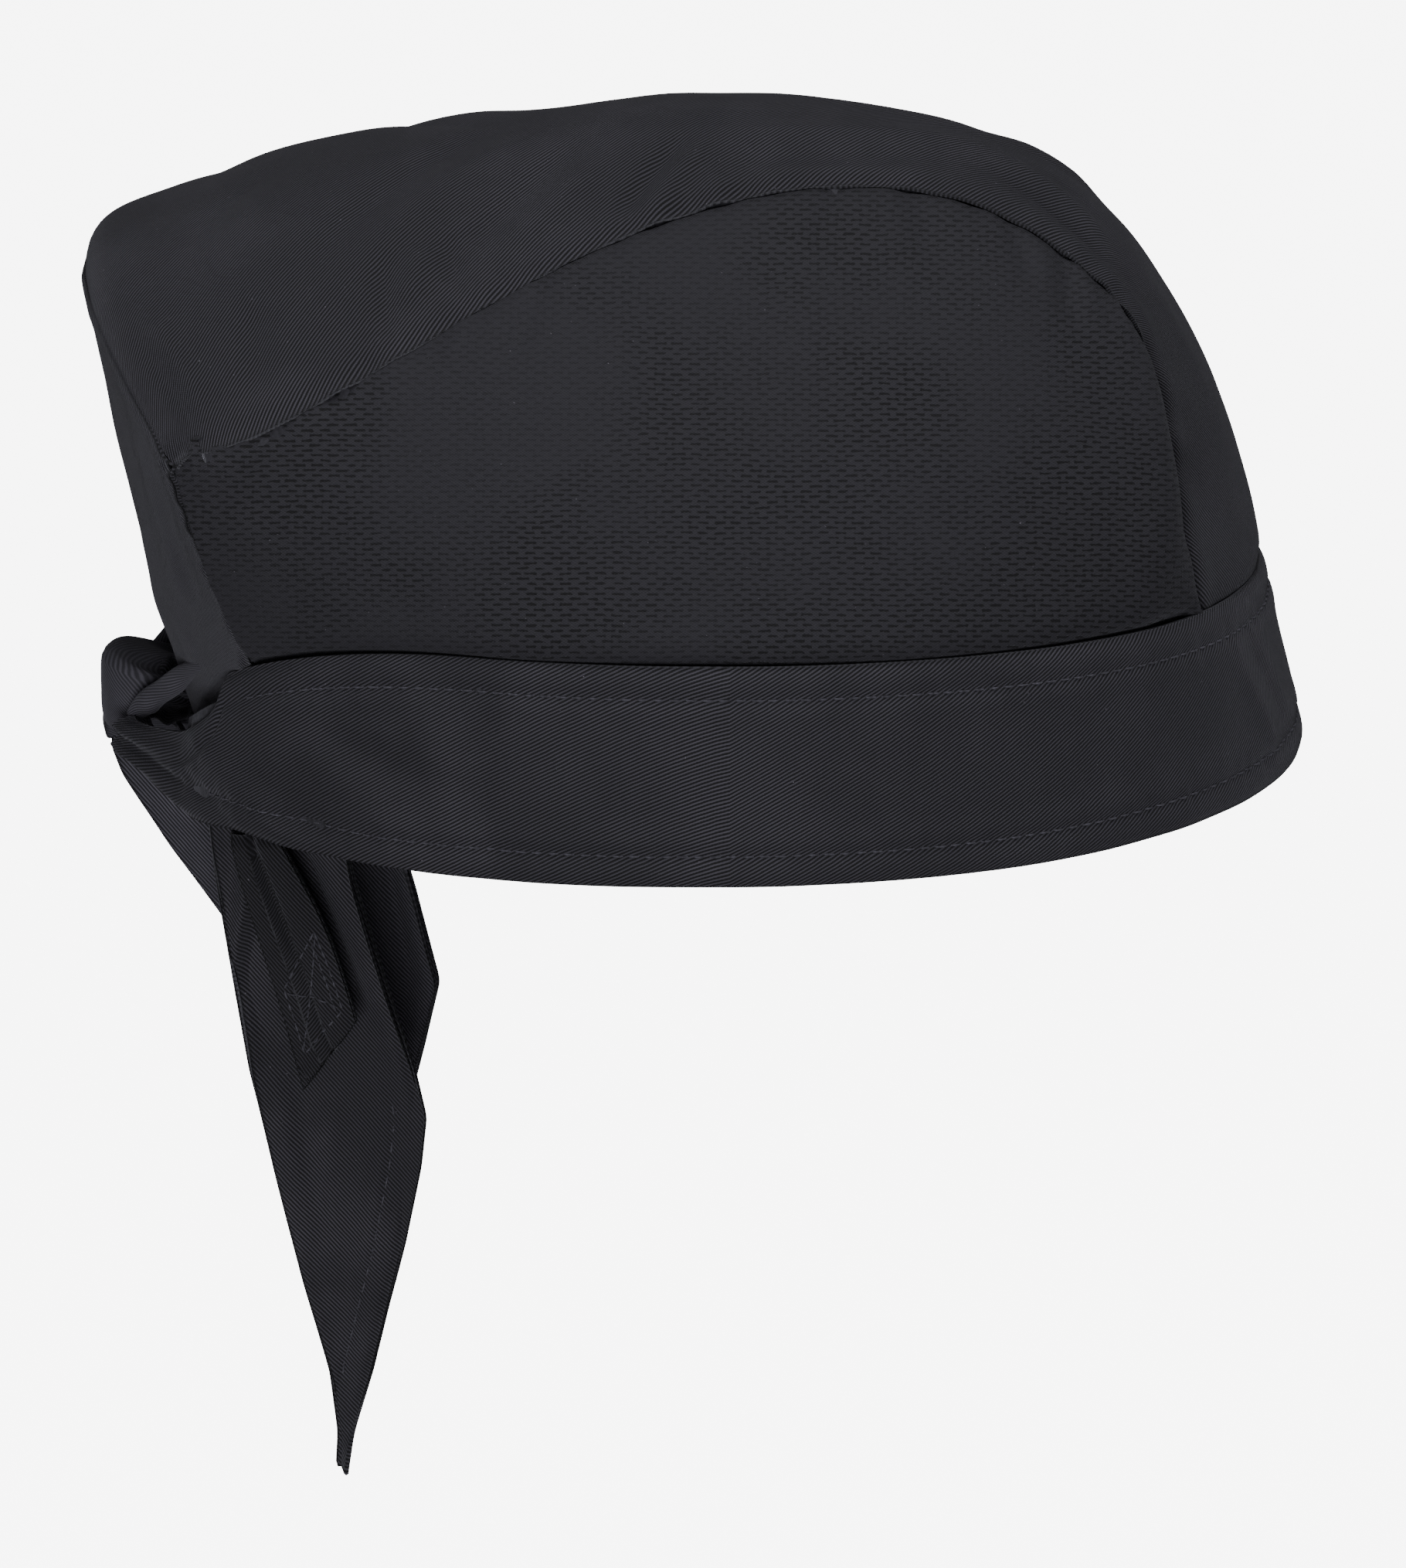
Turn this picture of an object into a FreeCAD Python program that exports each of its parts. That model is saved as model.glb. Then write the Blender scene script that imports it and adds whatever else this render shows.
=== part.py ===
import FreeCAD, Part
import Sketcher
import math
import os

# Chef's bandana cap: a gathered skull cap with a twill top panel, two knitted mesh sides, a back
# panel, a wide headband tied in a knot at the nape, and three loose tie ends that hang from it.
# Frame, in millimetres: the front of the cap faces -Y, the wearer's right is -X, up is +Z. The
# origin is the centre of the head opening, in the plane of the rim.

Vector = FreeCAD.Vector
DOC = FreeCAD.newDocument("chef_cap")
SHEET = DOC.addObject("Spreadsheet::Sheet", "Sizes")

SIZES = (
    ("rim_half_length", 102.0, "head opening, centre to the front of the band"),
    ("rim_half_width", 80.0, "head opening, centre to the side of the band"),
    ("band_height", 38.0, "headband, rim to top seam at the side"),
    ("band_front_drop", 4.5, "how much lower the top seam is at the front"),
    ("band_lean_front", 8.0, "how far the band leans in at the front"),
    ("band_lean_side", 4.0, "how far the band leans in at the side"),
    ("band_belly", 0.8, "how far the band swells between its seams"),
    ("tie_height", 11.0, "height of the gathered band where it enters the knot"),
    ("tie_sag", 3.0, "how far the gathered lower edge drops below the rim"),
    ("gather_start", 112.0, "degrees from the front where the gathers begin"),
    ("band_end", 170.0, "degrees from the front where the band enters the knot"),
    ("crown_height", 115.5, "rim plane to the top of the crown"),
    ("panel_front_angle", 30.7, "degrees from the front, top panel's corner on the band"),
    ("panel_rear_angle", 143.0, "degrees from the front, back panel's corner on the band"),
    ("side_fullness", 0.115, "bulge of the mesh sides, share of their height"),
    ("back_fullness", 1.0, "bulge of the back panel"),
    ("back_foot_inset", 5.8, "back panel's foot, inside the band's face at the middle"),
    ("twill_thick", 0.9, "twill ply"),
    ("mesh_thick", 1.1, "knitted mesh ply"),
    ("lining_thick", 0.7, "headband lining ply"),
    ("sweat_thick", 1.4, "terry sweatband"),
    ("sweat_height", 30.0, "terry sweatband, height"),
    ("sweat_end", 100.0, "degrees from the front where the sweatband ends"),
    ("ply_gap", 0.15, "air between two plies"),
    ("seam_gap", 0.35, "each panel's edge stops this far from its seam line"),
    ("tape_width", 4.0, "seam tape, seam line to its edge"),
    ("tape_thick", 0.5, "seam tape"),
    ("thread_width", 0.6, "sewing thread"),
    ("thread_proud", 0.35, "sewing thread above the cloth"),
    ("stitch_inset", 5.5, "topstitch row to the edge of the band"),
    ("knot_back", -1.0, "face of the gathered band at the knot, behind the rim's rear end"),
    ("knot_z", 9.2, "knot, above the rim"),
    ("knot_core_width", 7.0, "knot core, half width"),
    ("knot_core_depth", 5.0, "knot core, half depth"),
    ("knot_core_height", 5.8, "knot core, half height"),
    ("knot_core_back", 4.0, "knot core's centre, behind the band's face"),
    ("knot_wrap_radius", 10.3, "outside of the loop round the knot"),
    ("knot_wrap_height", 13.4, "width of the loop round the knot"),
    ("knot_wrap_back", 1.0, "loop's centre, behind the band's face"),
    ("tie_start_x", 17.9, "where the band turns into the knot, beside the centre plane"),
    ("tie_back", -1.9, "gathered ties beside the knot, behind the rim's rear end"),
    ("ply_pair", 1.8, "two plies of twill, pressed"),
    ("root_width", 12.0, "gathered tie where it leaves the knot"),
    ("root_top", 1.8, "top of the tie roots under the knot, above the rim"),
    ("root_front_back", -6.0, "front end of the right tie root, behind the rim's rear end"),
    ("fold_top", 4.0, "top of the hanging folds, below the rim"),
    ("fold_height", 9.5, "height of the hanging folds"),
    ("fold_play", 1.2, "room round the line where a tail hangs from its fold"),
    ("hem", 5.0, "hem of a tail"),
    ("right_x", 22.0, "right tail, beside the centre plane"),
    ("right_rear_back", -10.5, "right tail, rear edge at the fold, behind the rim's rear end"),
    ("right_fold_width", 25.0, "right tail, width at the fold"),
    ("right_length", 121.0, "right tail, fold line to tip"),
    ("right_belly_back", -48.0, "right tail, front corner, behind the rim's rear end"),
    ("right_tip_back", -32.0, "right tail, tip, behind the rim's rear end"),
    ("left_x", 16.0, "left tail, beside the centre plane"),
    ("left_rear_back", 5.0, "left tail, rear edge at the fold, behind the rim's rear end"),
    ("left_fold_width", 44.0, "left tail, width at the fold"),
    ("left_length", 84.0, "left tail, fold line to tip"),
    ("left_belly_back", -49.0, "left tail, front corner, behind the rim's rear end"),
    ("left_tip_back", -38.5, "left tail, tip, behind the rim's rear end"),
    ("strap_x", 30.0, "short tie end, beside the centre plane"),
    ("strap_top_back", -19.0, "short tie end, middle of its top, behind the rim's rear end"),
    ("strap_width", 11.0, "short tie end"),
    ("strap_length", 47.0, "short tie end, to its point"),
    ("strap_slant", 14.0, "short tie end, forward run over its length"),
    ("label_width", 22.0, "blank care label"),
    ("label_height", 14.0, "blank care label"),
)

# The crown's seam stations, front to rear. Heights are shares of the crown above the band.
# Each row: ridge y, ridge height, seam x, seam y, seam height, foot angle of the side panel.
# x is a share of rim_half_width and y of rim_half_length.
STATIONS = (
    (-0.884, 0.150, 0.425, -0.752, 0.234, 36.0),
    (-0.832, 0.345, 0.388, -0.729, 0.424, 39.5),
    (-0.756, 0.540, 0.350, -0.696, 0.575, 43.5),
    (-0.648, 0.748, 0.313, -0.618, 0.697, 50.0),
    (-0.470, 0.900, 0.281, -0.455, 0.828, 61.5),
    (-0.206, 0.985, 0.288, -0.199, 0.901, 78.0),
    (0.050, 1.000, 0.369, 0.048, 0.867, 93.0),
    (0.323, 0.965, 0.525, 0.313, 0.760, 106.0),
    (0.608, 0.908, 0.669, 0.571, 0.599, 121.0),
    (0.860, 0.828, 0.750, 0.785, 0.463, 134.0),
    (0.985, 0.766, 0.765, 0.865, 0.434, 139.5),
    (1.090, 0.688, 0.773, 0.903, 0.418, 142.6),
)
REAR_EDGE = (1.104, 0.645, 0.770, 0.920, 0.395)

for row, (alias, value, meaning) in enumerate(SIZES, start=1):
    SHEET.set("A%d" % row, str(value))
    SHEET.set("B%d" % row, meaning)
    SHEET.setAlias("A%d" % row, alias)
DOC.recompute()

PARTS = []


def size(alias):
    return float(SHEET.get(alias))


def keep(feature, label):
    feature.Label = label
    PARTS.append(feature)
    return feature


def shape_part(label, shape):
    """A sewn sheet whose double curve no sketch feature makes: its shape is set in code."""
    feature = DOC.addObject("Part::Feature", label)
    feature.Shape = shape
    feature.Placement = FreeCAD.Placement()
    return keep(feature, label)


# ---- the headband's surface and the crown's surfaces -------------------------------------------

def signed_power(value, power):
    return math.copysign(abs(value) ** power, value)


def ease(value):
    value = min(max(value, 0.0), 1.0)
    return value * value * (3.0 - 2.0 * value)


FRONT_ROUNDNESS = 2.0
REAR_ROUNDNESS = 2.4
GATHER_POWER = 2.0
SAG_START, SAG_FULL = 140.0, 160.0


def band_edges(angle):
    """Heights of the band's lower and upper edges at an angle from the front, in degrees."""
    turn = abs(angle)
    front = max(math.cos(math.radians(turn)), 0.0)
    top = size("band_height") - size("band_front_drop") * front ** 2
    gathered = max(turn - size("gather_start"), 0.0) / (size("band_end") - size("gather_start"))
    tie_top = size("tie_height") - size("tie_sag")
    top -= (size("band_height") - tie_top) * min(gathered, 1.0) ** GATHER_POWER
    bottom = -size("tie_sag") * ease((turn - SAG_START) / (SAG_FULL - SAG_START))
    return bottom, top


def band_point(angle, rise, depth=0.0):
    """A point of the band: rise 0 to 1 from rim to top seam, depth inwards from its face."""
    turn = math.radians(angle)
    sine, cosine = math.sin(turn), math.cos(turn)
    roundness = FRONT_ROUNDNESS if cosine > 0 else REAR_ROUNDNESS
    gathered = max(abs(angle) - size("gather_start"), 0.0) / (size("band_end") - size("gather_start"))
    lean = size("band_lean_side") * (1.0 - 0.7 * min(gathered, 1.0))
    lean += (size("band_lean_front") - size("band_lean_side")) * max(cosine, 0.0) ** 2
    inward = depth + lean * rise - size("band_belly") * 4.0 * rise * (1.0 - rise)
    bottom, top = band_edges(angle)
    return Vector(-(size("rim_half_width") - inward) * signed_power(sine, 2.0 / roundness),
                  -(size("rim_half_length") - inward) * signed_power(cosine, 2.0 / roundness),
                  bottom + (top - bottom) * rise)


def share_to_point(x_share, y_share, height_share):
    base = size("band_height")
    return Vector(x_share * size("rim_half_width"), y_share * size("rim_half_length"),
                  base + height_share * (size("crown_height") - base))


def mirrored(point, side):
    return Vector(side * point.x, point.y, point.z)


def curve_through(points, places):
    curve = Part.BSplineCurve()
    curve.interpolate(Points=points, Parameters=places)
    return curve


FRONT_CORNER = mirrored(band_point(size("panel_front_angle"), 1.0), -1)
RIDGE_POINTS = ([band_point(0.0, 1.0)] + [share_to_point(0.0, r[0], r[1]) for r in STATIONS]
                + [share_to_point(0.0, REAR_EDGE[0], REAR_EDGE[1])])
SEAM_POINTS = ([FRONT_CORNER] + [share_to_point(*r[2:5]) for r in STATIONS]
               + [share_to_point(*REAR_EDGE[2:5])])
FOOT_ANGLES = ([size("panel_front_angle")] + [r[5] for r in STATIONS]
               + [size("panel_rear_angle")])

# A place on the crown is told by the millimetres along its ridge from the band's front.
PLACES = [0.0]
for start, end in zip(RIDGE_POINTS, RIDGE_POINTS[1:]):
    PLACES.append(PLACES[-1] + (end - start).Length)
EDGE_PLACE = PLACES[-1]
RIDGE = curve_through(RIDGE_POINTS, PLACES)
SEAM = curve_through(SEAM_POINTS, PLACES)
FOOT = curve_through([Vector(angle, 0, 0) for angle in FOOT_ANGLES], PLACES)


def top_point(place, across):
    """Top panel: across from -1 at the right seam to 1 at the left."""
    ridge, seam = RIDGE.value(place), SEAM.value(place)
    share = across * across
    return Vector(seam.x * across, ridge.y + (seam.y - ridge.y) * share,
                  ridge.z + (seam.z - ridge.z) * share)


def side_foot(place):
    return mirrored(band_point(FOOT.value(place).x, 1.0), -1)


def side_point(place, rise):
    """Left mesh side: rise 0 on the band to 1 on the top panel's seam."""
    foot, seam = side_foot(place), SEAM.value(place)
    chord = seam - foot
    out = Vector(foot.x / size("rim_half_width"), foot.y / size("rim_half_length"), 0.5)
    out = out - chord * (out.dot(chord) / chord.dot(chord))
    fullness = size("side_fullness") * (1.0 - 0.75 * ease(place / EDGE_PLACE * 3.0 - 2.0))
    return foot + chord * rise + out.normalize() * (fullness * chord.Length * 4 * rise * (1 - rise))


def back_point(across, fall):
    """Back panel: across -1 at the right seam to 1 at the left, fall 0 at the top to 1."""
    top = top_point(EDGE_PLACE, across)
    turn = 180.0 - (180.0 - size("panel_rear_angle")) * abs(across)
    foot = band_point(turn, 1.0, size("back_foot_inset") * (1.0 - across * across))
    foot.x = math.copysign(foot.x, across)
    point = top + (foot - top) * fall
    point.y += size("back_fullness") * 4.0 * fall * (1.0 - fall) * (1.0 - 0.5 * across * across)
    return point


def inwards(point, depth):
    """The point moved this deep towards the cap's middle, along which every ply is laid."""
    middle = Vector(0, point.y * 0.5, size("band_height") * 1.2)
    return point + (middle - point).normalize() * depth


def smooth_surface(rows):
    surface = Part.BSplineSurface()
    surface.interpolate(rows)
    return surface


def skin(outer_rows, inner_rows):
    """A closed sheet between an outer and an inner net of points, closed by its four edges."""
    outer, inner = smooth_surface(outer_rows), smooth_surface(inner_rows)
    u_first, u_last, v_first, v_last = outer.bounds()
    faces = [outer.toShape(), inner.toShape()]
    for place in (u_first, u_last):
        faces.append(Part.makeRuledSurface(outer.uIso(place).toShape(), inner.uIso(place).toShape()))
    for place in (v_first, v_last):
        faces.append(Part.makeRuledSurface(outer.vIso(place).toShape(), inner.vIso(place).toShape()))
    shell = Part.Shell(faces)
    shell.sewShape()
    solid = Part.Solid(shell)
    if solid.Volume < 0:
        solid.reverse()
    return solid


def steps(first, last, count):
    return [first + (last - first) * index / (count - 1) for index in range(count)]


def sheet_between(surface, firsts, seconds_of, outside, inside):
    """A ply of a surface from depth outside to depth inside."""
    outer_rows, inner_rows = [], []
    for first in firsts:
        row = [surface(first, second) for second in seconds_of(first)]
        outer_rows.append([inwards(point, outside) for point in row])
        inner_rows.append([inwards(point, inside) for point in row])
    return skin(outer_rows, inner_rows)


def band_sheet(first_angle, last_angle, low, high, outside, inside):
    """A ply of the headband; low and high give its edges' rises at an angle."""
    inner_angles = [10.0 * index for index in range(-17, 18)]
    angles = [angle for angle in inner_angles if first_angle + 3 < angle < last_angle - 3]
    outer_rows, inner_rows = [], []
    for angle in [first_angle] + angles + [last_angle]:
        rises = steps(low(angle), high(angle), 4)
        outer_rows.append([band_point(angle, rise, outside) for rise in rises])
        inner_rows.append([band_point(angle, rise, inside) for rise in rises])
    return skin(outer_rows, inner_rows)


def rise_at(angle, millimetres):
    """The rise that lies this far above the band's lower edge."""
    bottom, top = band_edges(angle)
    return millimetres / (top - bottom)


# ---- headband ----------------------------------------------------------------------------------

BAND_END = size("band_end")
TOP_TRIM = size("seam_gap")
LINING_FACE = size("twill_thick") + size("ply_gap")
SWEAT_FACE = LINING_FACE + size("lining_thick") + size("ply_gap")

shape_part("headband_outer", band_sheet(
    -BAND_END, BAND_END, lambda angle: 0.0, lambda angle: 1.0 - rise_at(angle, TOP_TRIM),
    0.0, size("twill_thick")))

shape_part("headband_lining", band_sheet(
    -BAND_END, BAND_END, lambda angle: rise_at(angle, 0.6),
    lambda angle: 1.0 - rise_at(angle, TOP_TRIM),
    LINING_FACE, LINING_FACE + size("lining_thick")))

shape_part("sweatband", band_sheet(
    -size("sweat_end"), size("sweat_end"), lambda angle: rise_at(angle, 1.5),
    lambda angle: rise_at(angle, size("sweat_height")),
    SWEAT_FACE, SWEAT_FACE + size("sweat_thick")))


def band_thread(low):
    """One row of topstitching round the outside of the headband."""
    return band_sheet(-BAND_END + 12, BAND_END - 12, low,
                      lambda angle: low(angle) + rise_at(angle, size("thread_width")),
                      -size("thread_proud"), -0.05)


shape_part("band_upper_topstitch", band_thread(
    lambda angle: 1.0 - rise_at(angle, size("stitch_inset"))))
shape_part("band_lower_topstitch", band_thread(
    lambda angle: rise_at(angle, size("stitch_inset"))))

# ---- crown panels ------------------------------------------------------------------------------


def inset_steps(length, first, last, count):
    """Even steps that stop a seam gap short of both ends of a span of this length."""
    inset = size("seam_gap") / length * (last - first)
    return steps(first + inset, last - inset, count)


def top_steps(place):
    return inset_steps(2.0 * SEAM.value(place).x, -1.0, 1.0, 9)


def side_steps(place):
    return inset_steps((SEAM.value(place) - side_foot(place)).Length, 0.0, 1.0, 6)


def back_steps(across):
    return inset_steps((back_point(across, 1.0) - back_point(across, 0.0)).Length, 0.0, 1.0, 6)


shape_part("crown_top_panel", sheet_between(
    top_point, inset_steps(EDGE_PLACE, 0.0, EDGE_PLACE, 31), top_steps, 0.0, size("twill_thick")))

TIP_SHARE = 0.012
LEFT_SIDE = sheet_between(
    side_point, steps(EDGE_PLACE * TIP_SHARE, EDGE_PLACE - size("seam_gap"), 25),
    side_steps, 0.0, size("mesh_thick"))
shape_part("side_panel_left", LEFT_SIDE)
shape_part("side_panel_right", LEFT_SIDE.mirror(Vector(0, 0, 0), Vector(1, 0, 0)))

BACK_SPAN = 2.0 * SEAM.value(EDGE_PLACE).x
shape_part("back_panel", sheet_between(
    back_point, inset_steps(BACK_SPAN, -1.0, 1.0, 12), back_steps, 0.0, size("twill_thick")))

# ---- seam tapes, inside ------------------------------------------------------------------------

TAPE_FACE = size("mesh_thick") + 4.0 * size("ply_gap")


def tape(row_of, places):
    """A tape on the inside of a seam: row_of gives the seam's surface points across it."""
    rows = [row_of(place) for place in places]
    return skin([[inwards(point, TAPE_FACE) for point in row] for row in rows],
                [[inwards(point, TAPE_FACE + size("tape_thick")) for point in row]
                 for row in rows])


def crown_seam_row(place):
    seam = SEAM.value(place)
    on_top = 1.0 - size("tape_width") / seam.x
    on_side = 1.0 - size("tape_width") / (seam - side_foot(place)).Length
    return [top_point(place, on_top), seam, side_point(place, on_side)]


def back_seam_row(across):
    fall = size("tape_width") / (back_point(across, 1.0) - back_point(across, 0.0)).Length
    return [top_point(EDGE_PLACE - size("tape_width"), across), back_point(across, 0.0),
            back_point(across, fall)]


LEFT_TAPE = tape(crown_seam_row, steps(PLACES[1], EDGE_PLACE - 3.0 * size("tape_width"), 21))
shape_part("crown_seam_tape_left", LEFT_TAPE)
shape_part("crown_seam_tape_right", LEFT_TAPE.mirror(Vector(0, 0, 0), Vector(1, 0, 0)))
shape_part("back_seam_tape", tape(back_seam_row, steps(-0.85, 0.85, 11)))

REAR_TAPE = sheet_between(
    side_point, steps(EDGE_PLACE - 4.0 * size("tape_width"), EDGE_PLACE - 0.6 * size("tape_width"), 5),
    lambda place: steps(0.08, 0.8, 8), TAPE_FACE, TAPE_FACE + size("tape_thick"))
shape_part("rear_seam_tape_left", REAR_TAPE)
shape_part("rear_seam_tape_right", REAR_TAPE.mirror(Vector(0, 0, 0), Vector(1, 0, 0)))

# ---- sketched pieces: helpers ------------------------------------------------------------------


def added(*lengths):
    """The sum of lengths given as {size name: factor}."""
    total = {}
    for length in lengths:
        for alias, factor in length.items():
            total[alias] = total.get(alias, 0.0) + factor
    return total


def times(length, factor):
    return {alias: share * factor for alias, share in length.items()}


def value_of(length):
    return sum(size(alias) * factor for alias, factor in length.items())


def words_of(length):
    return " + ".join("Sizes.%s * (%g)" % (alias, factor) for alias, factor in length.items())


def plane_of(body, role):
    return [item for item in body.Origin.OriginFeatures if item.Role == role][0]


def hold(sketch, kind, corner, place):
    """Tie one coordinate of a line's start point to the sheet, measured from the origin."""
    value = value_of(place)
    if value >= 0:
        index = sketch.addConstraint(Sketcher.Constraint(kind, -1, 1, corner, 1, value))
        sketch.setExpression("Constraints[%d]" % index, words_of(place))
    else:
        index = sketch.addConstraint(Sketcher.Constraint(kind, corner, 1, -1, 1, -value))
        sketch.setExpression("Constraints[%d]" % index, "-(%s)" % words_of(place))


def from_rear(place):
    """A place behind the cap's centre, given behind the rear end of its rim."""
    return added({"rim_half_length": 1}, place)


def outline(body, name, role, away, loops):
    """A sketch of closed straight-sided loops on an origin plane, moved away along its normal."""
    sketch = body.newObject("Sketcher::SketchObject", name)
    sketch.AttachmentSupport = [(plane_of(body, role), "")]
    sketch.MapMode = "FlatFace"
    sketch.setExpression("AttachmentOffset.Base.z", words_of(away))
    for corners in loops:
        first = sketch.GeometryCount
        points = [Vector(value_of(across), value_of(up), 0) for across, up in corners]
        for start, end in zip(points, points[1:] + points[:1]):
            sketch.addGeometry(Part.LineSegment(start, end), False)
        for index in range(len(corners)):
            following = (index + 1) % len(corners)
            sketch.addConstraint(Sketcher.Constraint(
                "Coincident", first + index, 2, first + following, 1))
        for index, (across, up) in enumerate(corners):
            hold(sketch, "DistanceX", first + index, across)
            hold(sketch, "DistanceY", first + index, up)
    return sketch


def padded_part(label, role, away, thickness, *loops):
    """A flat ply: a straight-sided outline padded to its thickness."""
    body = DOC.addObject("PartDesign::Body", label)
    sketch = outline(body, label + "_outline", role, away, loops)
    pad = body.newObject("PartDesign::Pad", label + "_pad")
    pad.Profile = sketch
    pad.setExpression("Length", words_of(thickness))
    return keep(body, label)


def lofted_part(label, role, sections):
    """A gathered stretch of cloth: rectangles (away, middle, middle, width, width) lofted."""
    body = DOC.addObject("PartDesign::Body", label)
    sketches = []
    for index, (away, across, up, width, tall) in enumerate(sections):
        corners = [(added(across, times(width, i)), added(up, times(tall, j)))
                   for i, j in ((-0.5, -0.5), (0.5, -0.5), (0.5, 0.5), (-0.5, 0.5))]
        name = "%s_section%d" % (label, index)
        sketches.append(outline(body, name, role, away, [corners]))
    DOC.recompute()
    loft = body.newObject("PartDesign::AdditiveLoft", label + "_loft")
    loft.Profile = sketches[0]
    loft.Sections = sketches[1:]
    return keep(body, label)


# ---- knot at the nape --------------------------------------------------------------------------

core = DOC.addObject("Part::Ellipsoid", "knot_core")
core.setExpression("Radius1", "Sizes.knot_core_height")
core.setExpression("Radius2", "Sizes.knot_core_width")
core.setExpression("Radius3", "Sizes.knot_core_depth")
core.setExpression("Placement.Base.y", words_of(from_rear({"knot_back": 1, "knot_core_back": 1})))
core.setExpression("Placement.Base.z", "Sizes.knot_z")
keep(core, "knot_core")

wrap_outer = DOC.addObject("Part::Cylinder", "wrap_outer")
wrap_outer.setExpression("Radius", "Sizes.knot_wrap_radius")
wrap_inner = DOC.addObject("Part::Cylinder", "wrap_inner")
wrap_inner.setExpression("Radius", "Sizes.knot_wrap_radius - Sizes.ply_pair")
for cylinder in (wrap_outer, wrap_inner):
    cylinder.Angle = 180
    cylinder.setExpression("Height", "Sizes.knot_wrap_height")
    cylinder.setExpression("Placement.Base.y", words_of(from_rear({"knot_back": 1, "knot_wrap_back": 1})))
    cylinder.setExpression("Placement.Base.z", "Sizes.knot_z - Sizes.knot_wrap_height / 2")
wrap = DOC.addObject("Part::Cut", "knot_wrap")
wrap.Base = wrap_outer
wrap.Tool = wrap_inner
keep(wrap, "knot_wrap")

for side, name in ((-1, "right"), (1, "left")):
    lofted_part("band_tie_" + name, "YZ_Plane", [
        (times({"tie_start_x": 1}, side), from_rear({"tie_back": 1}), {"tie_height": 0.5, "tie_sag": -1},
         {"ply_pair": 1.5}, {"tie_height": 0.9}),
        (times({"knot_core_width": 1.03}, side), from_rear({"tie_back": 1}), {"knot_z": 1},
         {"ply_pair": 2}, {"tie_height": 0.7})])

lofted_part("tie_root_right", "XY_Plane", [
    ({"root_top": 1}, {"root_width": -0.4}, from_rear({"knot_back": 1, "knot_core_back": 1}),
     {"root_width": 0.45}, {"ply_pair": 2.2}),
    ({"fold_top": -0.8}, {"right_x": -0.73}, from_rear({"root_front_back": 1}), {"root_width": 0.75},
     {"ply_pair": 2.2})])
lofted_part("tie_root_left", "XY_Plane", [
    ({"root_top": 1}, {"root_width": 0.4}, from_rear({"knot_back": 1, "knot_core_back": 1}),
     {"root_width": 0.45}, {"ply_pair": 2.2}),
    ({"fold_top": -0.8, "fold_height": -0.9}, {"left_x": 0.62}, from_rear({"left_rear_back": 1}),
     {"root_width": 0.6}, {"ply_pair": 3})])

# ---- hanging tie ends --------------------------------------------------------------------------

FOLD_LINE = {"fold_top": -1, "fold_height": -1}
PLY = {"ply_pair": 0.5, "ply_gap": -0.5}


def two_plies(label, middle, loops, names=("outer", "inner")):
    """Two plies laid face to face, on planes beside the centre plane."""
    outer_low = added(middle, {"ply_pair": -0.5})
    inner_low = added(middle, {"ply_gap": 0.5})
    padded_part("%s_%s_ply" % (label, names[0]), "YZ_Plane", outer_low, PLY, loops)
    padded_part("%s_%s_ply" % (label, names[1]), "YZ_Plane", inner_low, PLY, loops)


def fold(label, middle, front, rear):
    """The folded upper part that hangs between the knot and the loose tail."""
    top = {"fold_top": -1}
    foot = added(FOLD_LINE, {"fold_play": 0.5})
    padded_part(label, "YZ_Plane", added(middle, {"ply_pair": -0.5}), {"ply_pair": 1},
                [(front, foot), (rear, foot), (rear, top), (front, top)])


def below(length, share):
    """A height below the fold line, as a share of a tail's length."""
    return added(FOLD_LINE, {"fold_play": -0.5 * (1 - share)}, {length: -share})


RIGHT_PLANE = {"right_x": -1}
RIGHT_REAR = from_rear({"right_rear_back": 1})
RIGHT_FRONT = added(RIGHT_REAR, {"right_fold_width": -1})
fold("tail_right_fold", RIGHT_PLANE, RIGHT_FRONT, RIGHT_REAR)
two_plies("tail_right", RIGHT_PLANE, [
    (RIGHT_FRONT, below("right_length", 0.0)),
    (from_rear({"right_belly_back": 1}), below("right_length", 0.43)),
    (from_rear({"right_tip_back": 0.85, "right_belly_back": 0.15}), below("right_length", 0.88)),
    (from_rear({"right_tip_back": 1}), below("right_length", 1.0)),
    (from_rear({"right_tip_back": 0.95, "right_rear_back": 0.05}), below("right_length", 0.83)),
    (from_rear({"right_tip_back": 0.33, "right_rear_back": 0.67}), below("right_length", 0.354)),
    (from_rear({"right_tip_back": 0.18, "right_rear_back": 0.82}), below("right_length", 0.176)),
    (from_rear({"right_rear_back": 0.99, "right_tip_back": 0.01}), below("right_length", 0.0))])

LEFT_PLANE = {"left_x": 1}
LEFT_REAR = from_rear({"left_rear_back": 1})
LEFT_FRONT = added(LEFT_REAR, {"left_fold_width": -1})
fold("tail_left_fold", LEFT_PLANE, LEFT_FRONT, added(LEFT_REAR, {"left_fold_width": -0.2}))
two_plies("tail_left", LEFT_PLANE, [
    (LEFT_FRONT, below("left_length", 0.0)),
    (from_rear({"left_belly_back": 1}), below("left_length", 0.5)),
    (from_rear({"left_tip_back": 0.5, "left_belly_back": 0.5}), below("left_length", 0.72)),
    (from_rear({"left_tip_back": 1}), below("left_length", 1.0)),
    (from_rear({"left_tip_back": 0.36, "left_rear_back": 0.64}), below("left_length", 0.34)),
    (LEFT_REAR, below("left_length", 0.0))], ("inner", "outer"))


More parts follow.
